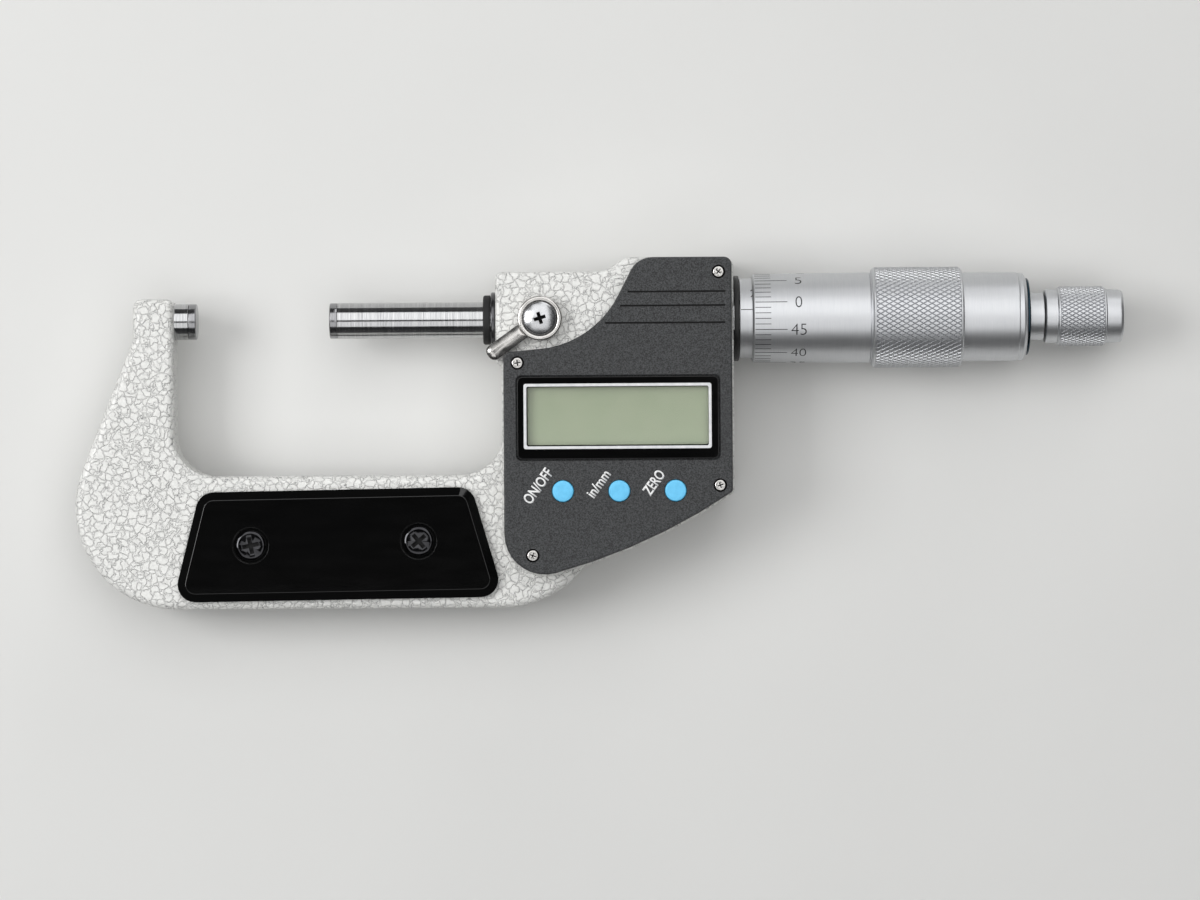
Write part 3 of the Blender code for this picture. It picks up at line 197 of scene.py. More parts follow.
def knurled(obj, start, end, groove, rise):
    """Turns the turned band between two places into rows of raised diamonds. Each face gets a point
    in its middle, the band's first edges come out, and the diamonds that are left are inset."""
    low, high = start * MM + HAIR, end * MM - HAIR
    straight, leaning = 0.05, 0.3  # how far a face may tip towards the spindle line

    def on_band(face, most):
        return low < face.calc_center_median().x < high and abs(face.normal.x) < most

    def first_edge(edge):
        a, b = (v.co for v in edge.verts)
        if not low - 2 * HAIR < min(a.x, b.x) or not max(a.x, b.x) < high + 2 * HAIR:
            return False
        if abs(a.x - b.x) < HAIR:
            return low < a.x < high
        return abs(a.y - b.y) < HAIR and abs(a.z - b.z) < HAIR

    edit(obj)
    pick("FACE", lambda f: on_band(f, straight))
    bpy.ops.mesh.poke()
    pick("EDGE", first_edge)
    bpy.ops.mesh.dissolve_edges(use_verts=False)
    pick("FACE", lambda f: on_band(f, leaning))
    bpy.ops.mesh.inset(thickness=groove * MM, depth=rise * MM, use_individual=True)
    object_mode()
    return obj


def dulled(obj, start, end):
    """Gives the flanks in the grooves of a knurled band painted shade: a greyer and slightly rougher
    chrome.
    """
    least, most = 0.1, 0.93  # how far a groove's flank faces straight out
    obj.data.materials.append(KNURL_FLANK_SHADE)
    for face in obj.data.polygons:
        outward = Vector((0, face.center.y, face.center.z)).normalized()
        on_band = start * MM < face.center.x < end * MM
        if on_band and least < face.normal.dot(outward) < most:
            face.material_index = 1


def steps_between(start, end, count, radius):
    """Profile points that split a straight band into equal rings."""
    return [(start + (end - start) * i / count, radius) for i in range(count + 1)]


def block(name, low, high):
    """Box between two corners, to be shaped further or used as a cutter."""
    deselect()
    low, high = Vector(low) * MM, Vector(high) * MM
    bpy.ops.mesh.primitive_cube_add(size=1, location=(low + high) / 2)
    obj = bpy.context.object
    obj.name = name
    obj.scale = high - low
    bpy.ops.object.transform_apply(location=True, rotation=True, scale=True)
    return obj


def put(obj, at=(0, 0, 0), turn=(0, 0, 0)):
    """Turns an object by degrees about the origin, moves it, and leaves that in its mesh."""
    only(obj)
    obj.rotation_euler = [math.radians(a) for a in turn]
    obj.location = Vector(at) * MM
    bpy.ops.object.transform_apply(location=True, rotation=True, scale=True)
    return obj


def copy_of(obj, name):
    """Copy of an object with a mesh of its own."""
    only(obj)
    bpy.ops.object.duplicate()
    made = bpy.context.object
    made.name = name
    return made


def joined(objs, name):
    """Makes several objects one."""
    deselect()
    for obj in objs:
        obj.select_set(True)
    bpy.context.view_layer.objects.active = objs[0]
    bpy.ops.object.join()
    objs[0].name = name
    return objs[0]


def discard(*objs):
    """Removes objects that were only there to be copied or to cut with."""
    for obj in objs:
        only(obj)
        bpy.ops.object.delete()


def boolean(obj, other, operation):
    """Cuts or joins one object with another, which is used up."""
    applied(obj, "BOOLEAN", operation=operation, solver="EXACT", object=other)
    discard(other)
    return obj


def adopted(node, name, bevel=0.0, angle=30, segments=2):
    """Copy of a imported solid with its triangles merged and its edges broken."""
    obj = bpy.data.objects.new(name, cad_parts[node].data.copy())
    bpy.context.scene.collection.objects.link(obj)
    only(obj)
    bpy.ops.mesh.customdata_custom_splitnormals_clear()
    edit(obj)
    bpy.ops.mesh.remove_doubles(threshold=ONE_CAD_POINT)
    bpy.ops.mesh.dissolve_limited(angle_limit=math.radians(0.5))
    bpy.ops.mesh.select_all(action="SELECT")
    bpy.ops.mesh.normals_make_consistent(inside=False)
    object_mode()
    return soften(obj, bevel, angle, segments)


def finished(obj, material, body, slot, *nodes):
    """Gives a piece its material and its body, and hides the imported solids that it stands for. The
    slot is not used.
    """
    obj.data.materials.clear()
    obj.data.materials.append(material)
    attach(obj, body)
    if nodes:
        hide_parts(*nodes)
    return obj


# Materials: colours are sRGB, and pattern sizes are in millimetres
def linear(colour):
    """Linear RGBA of an sRGB hex colour."""
    parts = [int(colour[i : i + 2], 16) / 255 for i in (1, 3, 5)]
    return [c / 12.92 if c <= 0.04045 else ((c + 0.055) / 1.055) ** 2.4 for c in parts] + [1.0]


def feed(node, inputs):
    """Gives a node its inputs, each a value, a hex colour or another node's output."""
    for key, value in inputs.items():
        if isinstance(value, bpy.types.NodeSocket):
            node.id_data.links.new(value, node.inputs[key])
        else:
            node.inputs[key].default_value = linear(value) if isinstance(value, str) else value


def add(tree, kind, inputs, out=0, **settings):
    """Adds a node of a kind with its settings and links, and returns one of its outputs."""
    node = tree.nodes.new("ShaderNode" + kind)
    for key, value in settings.items():
        setattr(node, key, value)
    feed(node, inputs)
    return node.outputs[out]


def surface(name, roughness, metallic=0.0, **more):
    """New material, its tree, its shader, and Object coordinates in millimetres."""
    material = bpy.data.materials.new(name)
    material.use_nodes = True
    tree = material.node_tree
    shader = tree.nodes["Principled BSDF"]
    feed(shader, {"Roughness": roughness, "Metallic": metallic})
    feed(shader, {key.replace("_", " "): value for key, value in more.items()})
    place = add(tree, "TexCoord", {}, "Object")
    where = add(tree, "Mapping", {"Vector": place, "Scale": (1000, 1000, 1000)})
    return material, tree, shader, where


def crackle_enamel():
    """Baked silver-grey crackle enamel on cast iron: pale islands a little over 1 mm wide, parted by
    fine dark lines that come and go, over a slightly wavy, satin coat."""
    material, tree, shader, where = surface(
        "crackle_enamel_on_iron", 0.38, 0.0, Coat_Weight=0.25, Coat_Roughness=0.25
    )
    bent = where
    for size, reach in ((1.1, 1.5), (0.4, 0.42)):
        warp = add(tree, "TexNoise", {"Vector": where, "Scale": 1 / size, "Detail": 1.0}, "Color")
        off = add(tree, "VectorMath", {0: warp, 1: (0.5, 0.5, 0.5)}, operation="SUBTRACT")
        off = add(tree, "VectorMath", {0: off, "Scale": reach}, operation="SCALE")
        bent = add(tree, "VectorMath", {0: bent, 1: off}, operation="ADD")

    # Cracks: one net round the islands, a fainter and finer one, and a noise that lets both fade
    cells = add(tree, "TexVoronoi", {"Vector": bent, "Scale": 0.74}, feature="DISTANCE_TO_EDGE")
    small = add(tree, "TexVoronoi", {"Vector": bent, "Scale": 1.5}, feature="DISTANCE_TO_EDGE")
    wide = add(tree, "MapRange", {"Value": cells, "From Max": 0.034, "To Min": 1, "To Max": 0})
    fine = add(tree, "MapRange", {"Value": small, "From Max": 0.05, "To Min": 0.16, "To Max": 0})
    come = add(tree, "TexNoise", {"Vector": where, "Scale": 1 / 1.3, "Detail": 3})
    come = add(tree, "MapRange", {"Value": come, "From Min": 0.35, "From Max": 0.6, "To Min": 0.3})
    both = add(tree, "Math", {0: wide, 1: fine}, operation="MAXIMUM")
    shown = add(tree, "Math", {0: both, 1: come}, operation="MULTIPLY")

    cloud = add(tree, "TexNoise", {
        "Vector": where, "Scale": 1 / 0.7, "Detail": 4, "Roughness": 0.65,
    })
    cloud = add(tree, "MapRange", {"Value": cloud, "From Min": 0.3, "From Max": 0.7})
    pale = add(tree, "Mix", {0: cloud, 6: "#E4E4E1", 7: "#F3F3F0"}, 2, data_type="RGBA")
    tone = add(tree, "Mix", {0: shown, 6: pale, 7: "#48484C"}, 2, data_type="RGBA")
    sheen = add(tree, "MapRange", {"Value": cloud, "To Min": 0.32, "To Max": 0.44})

    dome = {"Value": cells, "From Max": 0.15}
    dome = add(tree, "MapRange", dome, interpolation_type="SMOOTHERSTEP")
    grain = add(tree, "TexNoise", {"Vector": where, "Scale": 1 / 0.5, "Detail": 3})
    bump = add(tree, "Bump", {"Height": dome, "Distance": 0.13 * MM, "Strength": 1})
    bump = add(tree, "Bump", {
        "Height": grain, "Distance": 0.05 * MM, "Strength": 0.7, "Normal": bump,
    })
    feed(shader, {"Base Color": tone, "Roughness": sheen, "Normal": bump})
    return material


def moulded_plastic(name, dark, light, roughness, texture, depth):
    """ABS moulded against a spark-eroded tool: an even, fine grain that breaks up the light. The real
    grain is finer, and is drawn as coarse as it needs to be to show."""
    material, tree, shader, where = surface(name, roughness, 0.0, IOR=1.53)
    grain = add(tree, "TexNoise", {
        "Vector": where, "Scale": 1 / texture, "Detail": 3, "Roughness": 0.6,
    })
    # Painted highlights: grey, slightly less rough specks in the colour, where the grain would catch
    # light
    painted_glint = add(tree, "TexNoise", {
        "Vector": where, "Scale": 1 / (texture * 1.1), "Detail": 2, "Roughness": 0.7,
    })
    painted_glint = add(tree, "MapRange", {"Value": painted_glint, "From Min": 0.38, "From Max": 0.64})
    tone = add(tree, "Mix", {0: painted_glint, 6: dark, 7: light}, 2, data_type="RGBA")
    sheen = add(tree, "MapRange", {
        "Value": painted_glint, "To Min": roughness + 0.08, "To Max": roughness - 0.08,
    })
    bump = add(tree, "Bump", {"Height": grain, "Distance": depth * MM, "Strength": 1})
    feed(shader, {"Base Color": tone, "Roughness": sheen, "Normal": bump})
    return material


def gloss_plastic(name, colour, worn, roughness):
    """Polished black moulding: near mirror, with faint wipe marks in its roughness."""
    material, tree, shader, where = surface(name, roughness, 0.0, IOR=1.5)
    wipes = add(tree, "Mapping", {"Vector": where, "Scale": (0.12, 0.5, 1)})
    haze = add(tree, "TexNoise", {"Vector": wipes, "Scale": 1, "Detail": 4})
    share = add(tree, "MapRange", {"Value": haze, "From Min": 0.35, "From Max": 0.75})
    tone = add(tree, "Mix", {0: share, 6: colour, 7: worn}, 2, data_type="RGBA")
    sheen = add(tree, "MapRange", {
        "Value": haze, "From Min": 0.3, "From Max": 0.8, "To Min": roughness,
        "To Max": roughness + 0.03,
    })
    ripple = add(tree, "TexNoise", {"Vector": where, "Scale": 1 / 4, "Detail": 1})
    bump = add(tree, "Bump", {"Height": ripple, "Distance": 0.01 * MM, "Strength": 0.3})
    feed(shader, {"Base Color": tone, "Roughness": sheen, "Normal": bump})
    return material


def turned_metal(name, dark, light, roughness, line, depth, spread=0.06):
    """Metal finished on a lathe or grinder: fine rings about the spindle line, seen as faint streaks
    across it, with the sheen they give. Real rings are finer, and these are as coarse as it takes."""
    material, tree, shader, where = surface(name, roughness, 1.0)
    rings = add(tree, "Mapping", {"Vector": where, "Scale": (1, 0.02, 0.02)})
    rings = add(tree, "TexNoise", {
        "Vector": rings, "Scale": 1 / line, "Detail": 4, "Roughness": 0.7,
    })
    cloud = add(tree, "TexNoise", {"Vector": where, "Scale": 1 / 6, "Detail": 3})
    share = add(tree, "MapRange", {"Value": rings, "From Min": 0.3, "From Max": 0.7})
    tone = add(tree, "Mix", {0: share, 6: dark, 7: light}, 2, data_type="RGBA")
    sheen = add(tree, "Math", {0: share, 1: cloud}, operation="MULTIPLY")
    sheen = add(tree, "MapRange", {
        "Value": sheen, "From Min": 0.1, "From Max": 0.6, "To Min": roughness - spread,
        "To Max": roughness + spread,
    })
    bump = add(tree, "Bump", {"Height": rings, "Distance": depth * MM, "Strength": 0.35})
    feed(shader, {"Base Color": tone, "Roughness": sheen, "Normal": bump})
    return material


def plated_metal(name, dark, light, roughness, size=1.5, depth=0.01):
    """Plated or blackened steel: smooth, with a slight unevenness from the metal below."""
    material, tree, shader, where = surface(name, roughness, 1.0)
    cloud = add(tree, "TexNoise", {"Vector": where, "Scale": 1 / size, "Detail": 4})
    cloud = add(tree, "MapRange", {"Value": cloud, "From Min": 0.3, "From Max": 0.7})
    tone = add(tree, "Mix", {0: cloud, 6: dark, 7: light}, 2, data_type="RGBA")
    sheen = add(tree, "MapRange", {
        "Value": cloud, "To Min": roughness * 0.8, "To Max": roughness * 1.3,
    })
    waves = add(tree, "TexNoise", {"Vector": where, "Scale": 1 / (size * 0.6), "Detail": 2})
    bump = add(tree, "Bump", {"Height": waves, "Distance": depth * MM, "Strength": 0.3})
    feed(shader, {"Base Color": tone, "Roughness": sheen, "Normal": bump})
    return material


def plain_coat(name, dark, light, roughness, size, depth=0.008, **more):
    """Paint, print, rubber or moulding in one colour, with a little mottle and grain."""
    material, tree, shader, where = surface(name, roughness, 0.0, **more)
    cloud = add(tree, "TexNoise", {"Vector": where, "Scale": 1 / size, "Detail": 3})
    cloud = add(tree, "MapRange", {"Value": cloud, "From Min": 0.3, "From Max": 0.7})
    tone = add(tree, "Mix", {0: cloud, 6: dark, 7: light}, 2, data_type="RGBA")
    sheen = add(tree, "MapRange", {
        "Value": cloud, "To Min": roughness * 0.9, "To Max": roughness * 1.12,
    })
    grain = add(tree, "TexNoise", {"Vector": where, "Scale": 1 / (size * 0.5), "Detail": 3})
    bump = add(tree, "Bump", {"Height": grain, "Distance": depth * MM, "Strength": 0.4})
    feed(shader, {"Base Color": tone, "Roughness": sheen, "Normal": bump})
    return material


def lcd_glass():
    """Polariser over a blank liquid-crystal cell: grey-green and matt, with painted shade that makes it
    a little darker at its top.
    """
    material, tree, shader, where = surface("lcd_polariser", 0.4, 0.0)
    # Painted shade: the colour darkens towards the top of the display
    top_shade = add(tree, "SeparateXYZ", {"Vector": where}, "Y")
    top_shade = add(tree, "MapRange", {"Value": top_shade, "From Min": -23, "From Max": -12})
    tone = add(tree, "Mix", {0: top_shade, 6: "#9DA98C", 7: "#939F80"}, 2, data_type="RGBA")
    cloud = add(tree, "TexNoise", {"Vector": where, "Scale": 1 / 5, "Detail": 2})
    cloud = add(tree, "MapRange", {
        "Value": cloud, "From Min": 0.35, "From Max": 0.65, "To Max": 0.35,
    })
    tone = add(tree, "Mix", {0: cloud, 6: tone, 7: "#A3AA8F"}, 2, data_type="RGBA")
    grain = add(tree, "TexNoise", {"Vector": where, "Scale": 1 / 0.3, "Detail": 2})
    bump = add(tree, "Bump", {"Height": grain, "Distance": 0.004 * MM, "Strength": 0.4})
    feed(shader, {"Base Color": tone, "Normal": bump})
    return material


def clear_acrylic():
    """Clear moulded acrylic: almost unseen, with the gloss of its face."""
    material, tree, shader, where = surface("clear_acrylic", 0.05, 0.0, IOR=1.49)
    haze = add(tree, "TexNoise", {"Vector": where, "Scale": 1 / 8, "Detail": 2})
    sheen = add(tree, "MapRange", {
        "Value": haze, "From Min": 0.3, "From Max": 0.7, "To Min": 0.04, "To Max": 0.08,
    })
    feed(shader, {"Base Color": "#E9EFE6", "Alpha": 0.06, "Roughness": sheen})
    return material


def circuit_laminate():
    """Glass-fibre board under green solder mask, with the weave just showing."""
    material, tree, shader, where = surface("fr4_laminate", 0.35, 0.0)
    weave = add(tree, "TexChecker", {"Vector": where, "Scale": 1.6}, "Fac")
    cloud = add(tree, "TexNoise", {"Vector": where, "Scale": 1 / 2, "Detail": 3})
    tone = add(tree, "Mix", {0: cloud, 6: "#1E5C36", 7: "#2B7546"}, 2, data_type="RGBA")
    faint = add(tree, "MapRange", {"Value": weave, "To Max": 0.25})
    tone = add(tree, "Mix", {0: faint, 6: tone, 7: "#144427"}, 2, data_type="RGBA")
    bump = add(tree, "Bump", {"Height": weave, "Distance": 0.01 * MM, "Strength": 0.3})
    feed(shader, {"Base Color": tone, "Normal": bump})
    return material


# Bow and head: pale, satin and crackled
ENAMEL = crackle_enamel()
# Cover and battery cap: near black, with grey specks painted in as highlights where the grain would
# catch light
COVER = moulded_plastic("charcoal_abs", "#0C0E10", "#3E4042", 0.52, 0.21, 0.07)
# Plates and window border: black mirrors that show the lamps
PLATE = gloss_plastic("gloss_black_abs", "#050505", "#070707", 0.06)
BORDER = gloss_plastic("black_printed_acrylic", "#040404", "#080808", 0.04)
# Line in the border: bright, even silver under gloss
SILVER_LINE = plain_coat("silver_print", "#D9DBDD", "#ECEDEE", 0.35, 1.0, Coat_Weight=0.4)
LCD = lcd_glass()
CLEAR = clear_acrylic()
# Buttons: soft sheen on clear light blue
BUTTON = plain_coat("light_blue_silicone", "#66C8F6", "#72D2FF", 0.42, 0.9)
# Words and scales: flat white ink, and flat black fill that stays dark at any angle
LABEL = plain_coat("white_print", "#EDEFEF", "#FAFAFA", 0.5, 0.4)
MARKS = plain_coat("black_filled_engraving", "#101011", "#1D1D1F", 0.6, 0.3)
# Seals, collar and switches: dull, half dull and half dull black
RUBBER = plain_coat("black_nitrile_rubber", "#151516", "#1E1E1F", 0.7, 0.5, 0.015)
COLLAR = plain_coat("black_nylon", "#131314", "#1B1B1C", 0.45, 0.8)
SWITCH = plain_coat("black_switch_plastic", "#101010", "#191919", 0.5, 0.6)
# Plate screws: dark steel with clear, sharp glints
BLACK_SCREW = plated_metal("black_oxide_steel", "#38383A", "#444446", 0.085, 0.8, 0.004)
# Thimble, sleeve and ratchet: pale and soft, with a broad highlight along each
CHROME = turned_metal("satin_chrome_plate", "#C6C8CB", "#D2D3D5", 0.42, 0.08, 0.0012, 0.03)
# Spindle and anvil: bright, with a narrow highlight and streaks across it
STEEL = turned_metal("ground_steel", "#A2A3A4", "#D0D0D1", 0.15, 0.14, 0.003, 0.05)
# Ring behind the seal: a darker steel than the spindle
DARK_RING_STEEL = turned_metal("darker_steel", "#4C4C4E", "#6B6B6D", 0.26, 0.12, 0.002, 0.05)
# Between the diamonds: painted shade, a little greyer than the chrome on top, and a little rougher
KNURL_FLANK_SHADE = turned_metal("knurl_flanks_with_painted_shade", "#BDBEC1", "#CACBCE", 0.45, 0.08, 0.0012, 0.03)
# Grip grooves, screw seats and recesses: painted shade, near black and dull, so almost no light comes
# back
RECESS_SHADE = plain_coat("painted_shade_in_a_recess", "#080808", "#121213", 0.85, 0.3)
# Measuring faces: greyer and flatter than the steel behind them
CARBIDE = turned_metal("lapped_carbide", "#8E8E90", "#A2A2A4", 0.2, 0.1, 0.002, 0.04)
# Lever and cover screws: warm, bright plate, and the domed screw's cooler one
NICKEL = plated_metal("bright_nickel_plate", "#BCBAB7", "#D0CECB", 0.22)
POLISHED = plated_metal("polished_chrome_plate", "#B9BABC", "#CDCED0", 0.24)
# Lock pad: yellow and softly bright
BRASS = plated_metal("brass", "#A58246", "#C49C58", 0.3)
# Ring behind the thimble: dark blue, with a bright edge where it faces a lamp
ANODISED = plated_metal("blue_black_anodised_aluminium", "#1C2A33", "#2C404C", 0.28)
LAMINATE = circuit_laminate()


def make_body():
    """Bow and head, cover, plates and battery cap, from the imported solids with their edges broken."""
    finished(adopted("frame", "enamelled_frame"), ENAMEL, "frame", "enamel", "frame")
    cover = adopted("front_cover", "charcoal_cover", 0.06)
    finished(cover, COVER, "frame", "cover_plastic", "front_cover")
    darken_grooves(cover)
    for side in ("front", "back"):
        plate = adopted(f"{side}_plate", f"{side}_grip_plate", 0.6, 30, 4)
        finished(plate, PLATE, "frame", "plate_plastic", f"{side}_plate")
    cap = adopted("battery_cap", "coin_slot_cap", 0.08)
    finished(cap, COVER, "battery_cap", "cover_plastic", "battery_cap")


def cross_cut(head, at, reach, width, floor, over, turn):
    """Cuts a tapered cross recess from a floor height to a height above the head."""
    taper = (0.55, 0.7, 1)  # the floor's share of the mouth, along and across an arm
    low, high = min(floor, over), max(floor, over)
    for quarter in (0, 90):
        cutter = block("recess", (-reach, -width / 2, low), (reach, width / 2, high))
        edit(cutter)
        pick("FACE", lambda f: abs(f.calc_center_median().z - floor * MM) < ONE_LEVEL)
        bpy.ops.transform.resize(value=taper, center_override=(0, 0, floor * MM))
        object_mode()
        put(cutter, (at[0], at[1], 0), (0, 0, turn + quarter))
        boolean(head, cutter, "DIFFERENCE")
    return head


def darken_grooves(cover):
    """Paints shade into the cover's three grip grooves and its screw seats, using the dull, near-black
    recess coat.
    """
    half_groove, groove_floor, groove_end = 0.17, 10.6, 93
    seat_reach, seat_floor = 1.3, 9.5
    cover.data.materials.append(RECESS_SHADE)
    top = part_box("front_cover")[1][1]
    under_face = (COVER_FACE - 0.01) * MM
    for face in cover.data.polygons:
        place = face.center
        for below in COVER_GROOVES:
            across = abs(place.y - (top - below * MM)) < half_groove * MM
            sunk = groove_floor * MM < place.z < under_face
            if across and sunk and place.x < groove_end * MM:
                face.material_index = 1
        for x, y, _ in COVER_SCREWS:
            near = (place.xy - Vector((x, y)) * MM).length < seat_reach * MM
            if near and seat_floor * MM < place.z < under_face:
                face.material_index = 1


def darkened(head, at, reach, floor, way=1):
    """Paints shade on the walls and floor inside a recess, using the dull, near-black recess coat."""
    wall, above_floor = 0.6, 0.08  # least upward lean of an outer face, and mm over the floor
    head.data.materials.append(RECESS_SHADE)
    centre = Vector((at[0], at[1])) * MM
    for face in head.data.polygons:
        near = (face.center.xy - centre).length < reach * MM
        deep = (face.center.z - floor * MM) * way < above_floor * MM
        if near and (deep or abs(face.normal.z) < wall):
            face.material_index = 1
    return head


def cross_screw(name, at, seat, top, radius, turn, shares, way=1):
    """Screw head with a cross recess, from its seat to its top. The shares of its radius are its flat
    top's, the recess's reach and width, and the broken edges'. way is -1 on the back."""
    flat, reach, width, edge = (share * radius for share in shares)
    rise = (top - abs(seat)) * way
    shoulder = (radius + flat) / 1.9
    profile = [(seat, radius), (seat + rise * 0.6, radius), (seat + rise * 0.88, shoulder)]
    profile += [(seat + rise, flat), (seat + rise, radius * 0.12)]
    head = turned(name, [profile[0]] + eased(profile, 0.08)[1:], at, 64)
    floor, over = seat + rise * 0.3, seat + rise + way * 0.5
    cross_cut(head, at, reach, width, floor, over, turn)
    return soften(head, edge, 35, 2), floor


def make_screws():
    """Screws of the cover and of both plates, each with its recess turned its own way."""
    seat, top, radius, recess = 10.25, 10.95, 1.05, 0.7
    shares = (0.78, 0.66, 0.24, 0.03)
    for i, (x, y, turn) in enumerate(COVER_SCREWS, 1):
        name = f"cover_screw_head_{i}"
        screw, floor = cross_screw(name, (x, y), seat, top, radius, turn, shares)
        finished(screw, NICKEL, "frame", "bright_nickel", f"cover_screw_{i}")
        darkened(screw, (x, y), recess, floor)

    seat, top, radius, recess = 5.65, 6.75, 2.65, 1.7
    shares = (0.84, 0.7, 0.32, 0.05)
    for side, way in (("front", 1), ("back", -1)):
        for i, (x, y, turn) in enumerate(PLATE_SCREWS, 1):
            name = f"{side}_plate_screw_head_{i}"
            screw, floor = cross_screw(name, (x, y), seat * way, top, radius, turn, shares, way)
            finished(screw, BLACK_SCREW, "frame", "blackened_screw", f"{side}_plate_screw_{i}")
            darkened(screw, (x, y), recess, floor, way)


def upright(edge):
    """Whether an edge of a block joins its underside to its top."""
    return abs(edge.verts[0].co.z - edge.verts[1].co.z) > ONE_LEVEL


def rounded_block(name, outline, low, high, corner, segments):
    """Block over an outline (left, right, bottom, top) with its four corners rounded."""
    left, right, bottom, top = outline
    obj = block(name, (left, bottom, low), (right, top, high))
    edit(obj)
    pick("EDGE", upright)
    bpy.ops.mesh.bevel(offset=corner * MM, segments=segments, affect="EDGES")
    object_mode()
    return obj


def window_ring(name, outer, inner, low, high, corner, bevel):
    """Flat rectangular ring between two heights, with rounded corners and broken edges."""
    ring = rounded_block(name, outer, low, high, corner, 6)
    hole = rounded_block("hole", inner, low - 1, high + 1, min(corner, 0.35), 4)
    boolean(ring, hole, "DIFFERENCE")
    return soften(ring, bevel, 40)


def make_window():
    """Black-edged window with a silver line round the clear pane over the display. Each outline is
    its left, right, bottom and top."""
    rim, opening = (57.92, 93.8, -25.18, -10.52), (59.75, 91.97, -22.65, -12.35)
    border = window_ring("window_border", rim, opening, 9.9, WINDOW_FACE, 0.95, 0.1)
    finished(border, BORDER, "frame", "window_pane", "display_window")
    outer, inner = (59.02, 92.53, -23.39, -11.73), (59.53, 92.02, -22.88, -12.24)
    line = window_ring("window_line", outer, inner, 10.62, WINDOW_FACE + 0.06, 0.4, 0.04)
    finished(line, SILVER_LINE, "frame", "window_pane")
    pane = block("window_glass", (59.8, -22.6, 10.15), (91.92, -12.4, 10.6))
    soften(pane, 0.08)
    finished(pane, CLEAR, "frame", "window_pane")


def make_buttons():
    """Blue buttons: a stem down to its switch, a flange under the cover and a cap dished on top."""
    for name, x in BUTTONS:
        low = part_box(f"button_{name}")[0][2] / MM
        profile = [(low, 1.0), (8.8, 1.0), (8.8, 2.5), (9.3, 2.5), (9.3, 1.9), (11.12, 1.9)]
        profile += [(11.25, 1.74), (11.3, 1.2), (11.28, 0.4), (11.27, 0.06)]
        cap = turned(f"blue_button_{name}", eased(profile, 0.06), (x, BUTTON_Y), 64)
        finished(soften(cap, 0, 40), BUTTON, f"button_{name}", "button_plastic", f"button_{name}")


def lettering(name, text, length, height, weight):
    """Flat text about the origin, fitted to a length and height."""
    deselect()
    bpy.ops.object.text_add()
    obj = bpy.context.object
    obj.name = name
    obj.data.body = text
    obj.data.size = height * MM
    obj.data.offset = weight * MM
    obj.data.resolution_u = 5
    bpy.ops.object.convert(target="MESH")
    bpy.ops.object.origin_set(type="ORIGIN_GEOMETRY", center="BOUNDS")
    obj.location = (0, 0, 0)
    obj.scale = (length * MM / obj.dimensions.x, height * MM / obj.dimensions.y, 1)
    bpy.ops.object.transform_apply(location=True, rotation=True, scale=True)
    edit(obj)
    bpy.ops.mesh.remove_doubles(threshold=ONE_POINT)
    object_mode()
    return obj


def make_labels():
    """White words by the buttons, printed on the cover, each with its place, length and height."""
    labels = (
        ("ON/OFF", 61.5, -29.95, 7.0, 2.0),
        ("in/mm", 72.3, -29.6, 5.3, 1.9),
        ("ZERO", 82.15, -29.45, 4.75, 1.95),
    )
    for i, (text, x, y, length, height) in enumerate(labels, 1):
        word = lettering(f"label_{i}", text, length, height, 0.045)
        applied(word, "SOLIDIFY", thickness=0.03 * MM, offset=0)
        put(word, (x, y, COVER_FACE + 0.005), (0, 0, LABEL_ANGLE))
        finished(word, LABEL, "frame", "cover_plastic")


def make_lock():
    """Lock lever: a round hub with a roof-shaped arm, and its domed screw."""
    hub = [(7.65, 1.6), (7.65, 3.8), (7.85, 3.98), (9.75, 3.98), (9.92, 3.92), (10.02, 3.72)]
    hub += [(10.05, 3.55), (10.02, 3.36), (9.95, 3.16), (9.2, 3.12), (9.2, 1.6), (7.65, 1.6)]
    lever = turned("nickel_lever", eased(hub[:-1], 0.07) + [hub[0]], (LOCK_X, 0), 96)
    arm_start, arm_end, half_width = 3.45, 11.4, 1.42
    roof_run, roof_rise = 1.12, 0.66
    arm = block("arm", (arm_start, -half_width, 7.75), (arm_end, half_width, 9.0))
    edit(arm)
    far = arm_end * MM - ONE_LEVEL
    pick("EDGE", lambda e: all(v.co.x > far for v in e.verts) and upright(e))
    bpy.ops.mesh.bevel(offset=1.15 * MM, segments=8, affect="EDGES")
    pick("FACE", lambda f: f.normal.z > 0.9)
    bpy.ops.mesh.inset(thickness=roof_run * MM, depth=roof_rise * MM)
    object_mode()
    put(arm, (LOCK_X, 0, 0), (0, 0, LEVER_ANGLE))
    boolean(lever, arm, "UNION")
    finished(soften(lever, 0.07, 35), NICKEL, "lock_lever", "bright_nickel", "lock_lever")

    dome_r, dome_top, recess_floor = 5.84, 11.0, 9.7
    profile = [(9.3, 1.0), (9.3, 2.9), (9.38, 2.98), (10.05, 2.98)]
    for radius in (2.9, 2.6, 2.2, 1.8, 1.4, 1.0, 0.6, 0.15):
        profile.append((dome_top - dome_r + math.sqrt(dome_r**2 - radius**2), radius))
    screw = turned("lock_screw_head", profile, (LOCK_X, 0), 96)
    cross_cut(screw, (LOCK_X, 0), 1.38, 0.72, recess_floor, dome_top + 1, 17)
    soften(screw, 0.04, 35, 1)
    finished(screw, POLISHED, "lock_lever", "bright_nickel", "lock_screw")
    darkened(screw, (LOCK_X, 0), 1.45, recess_floor)


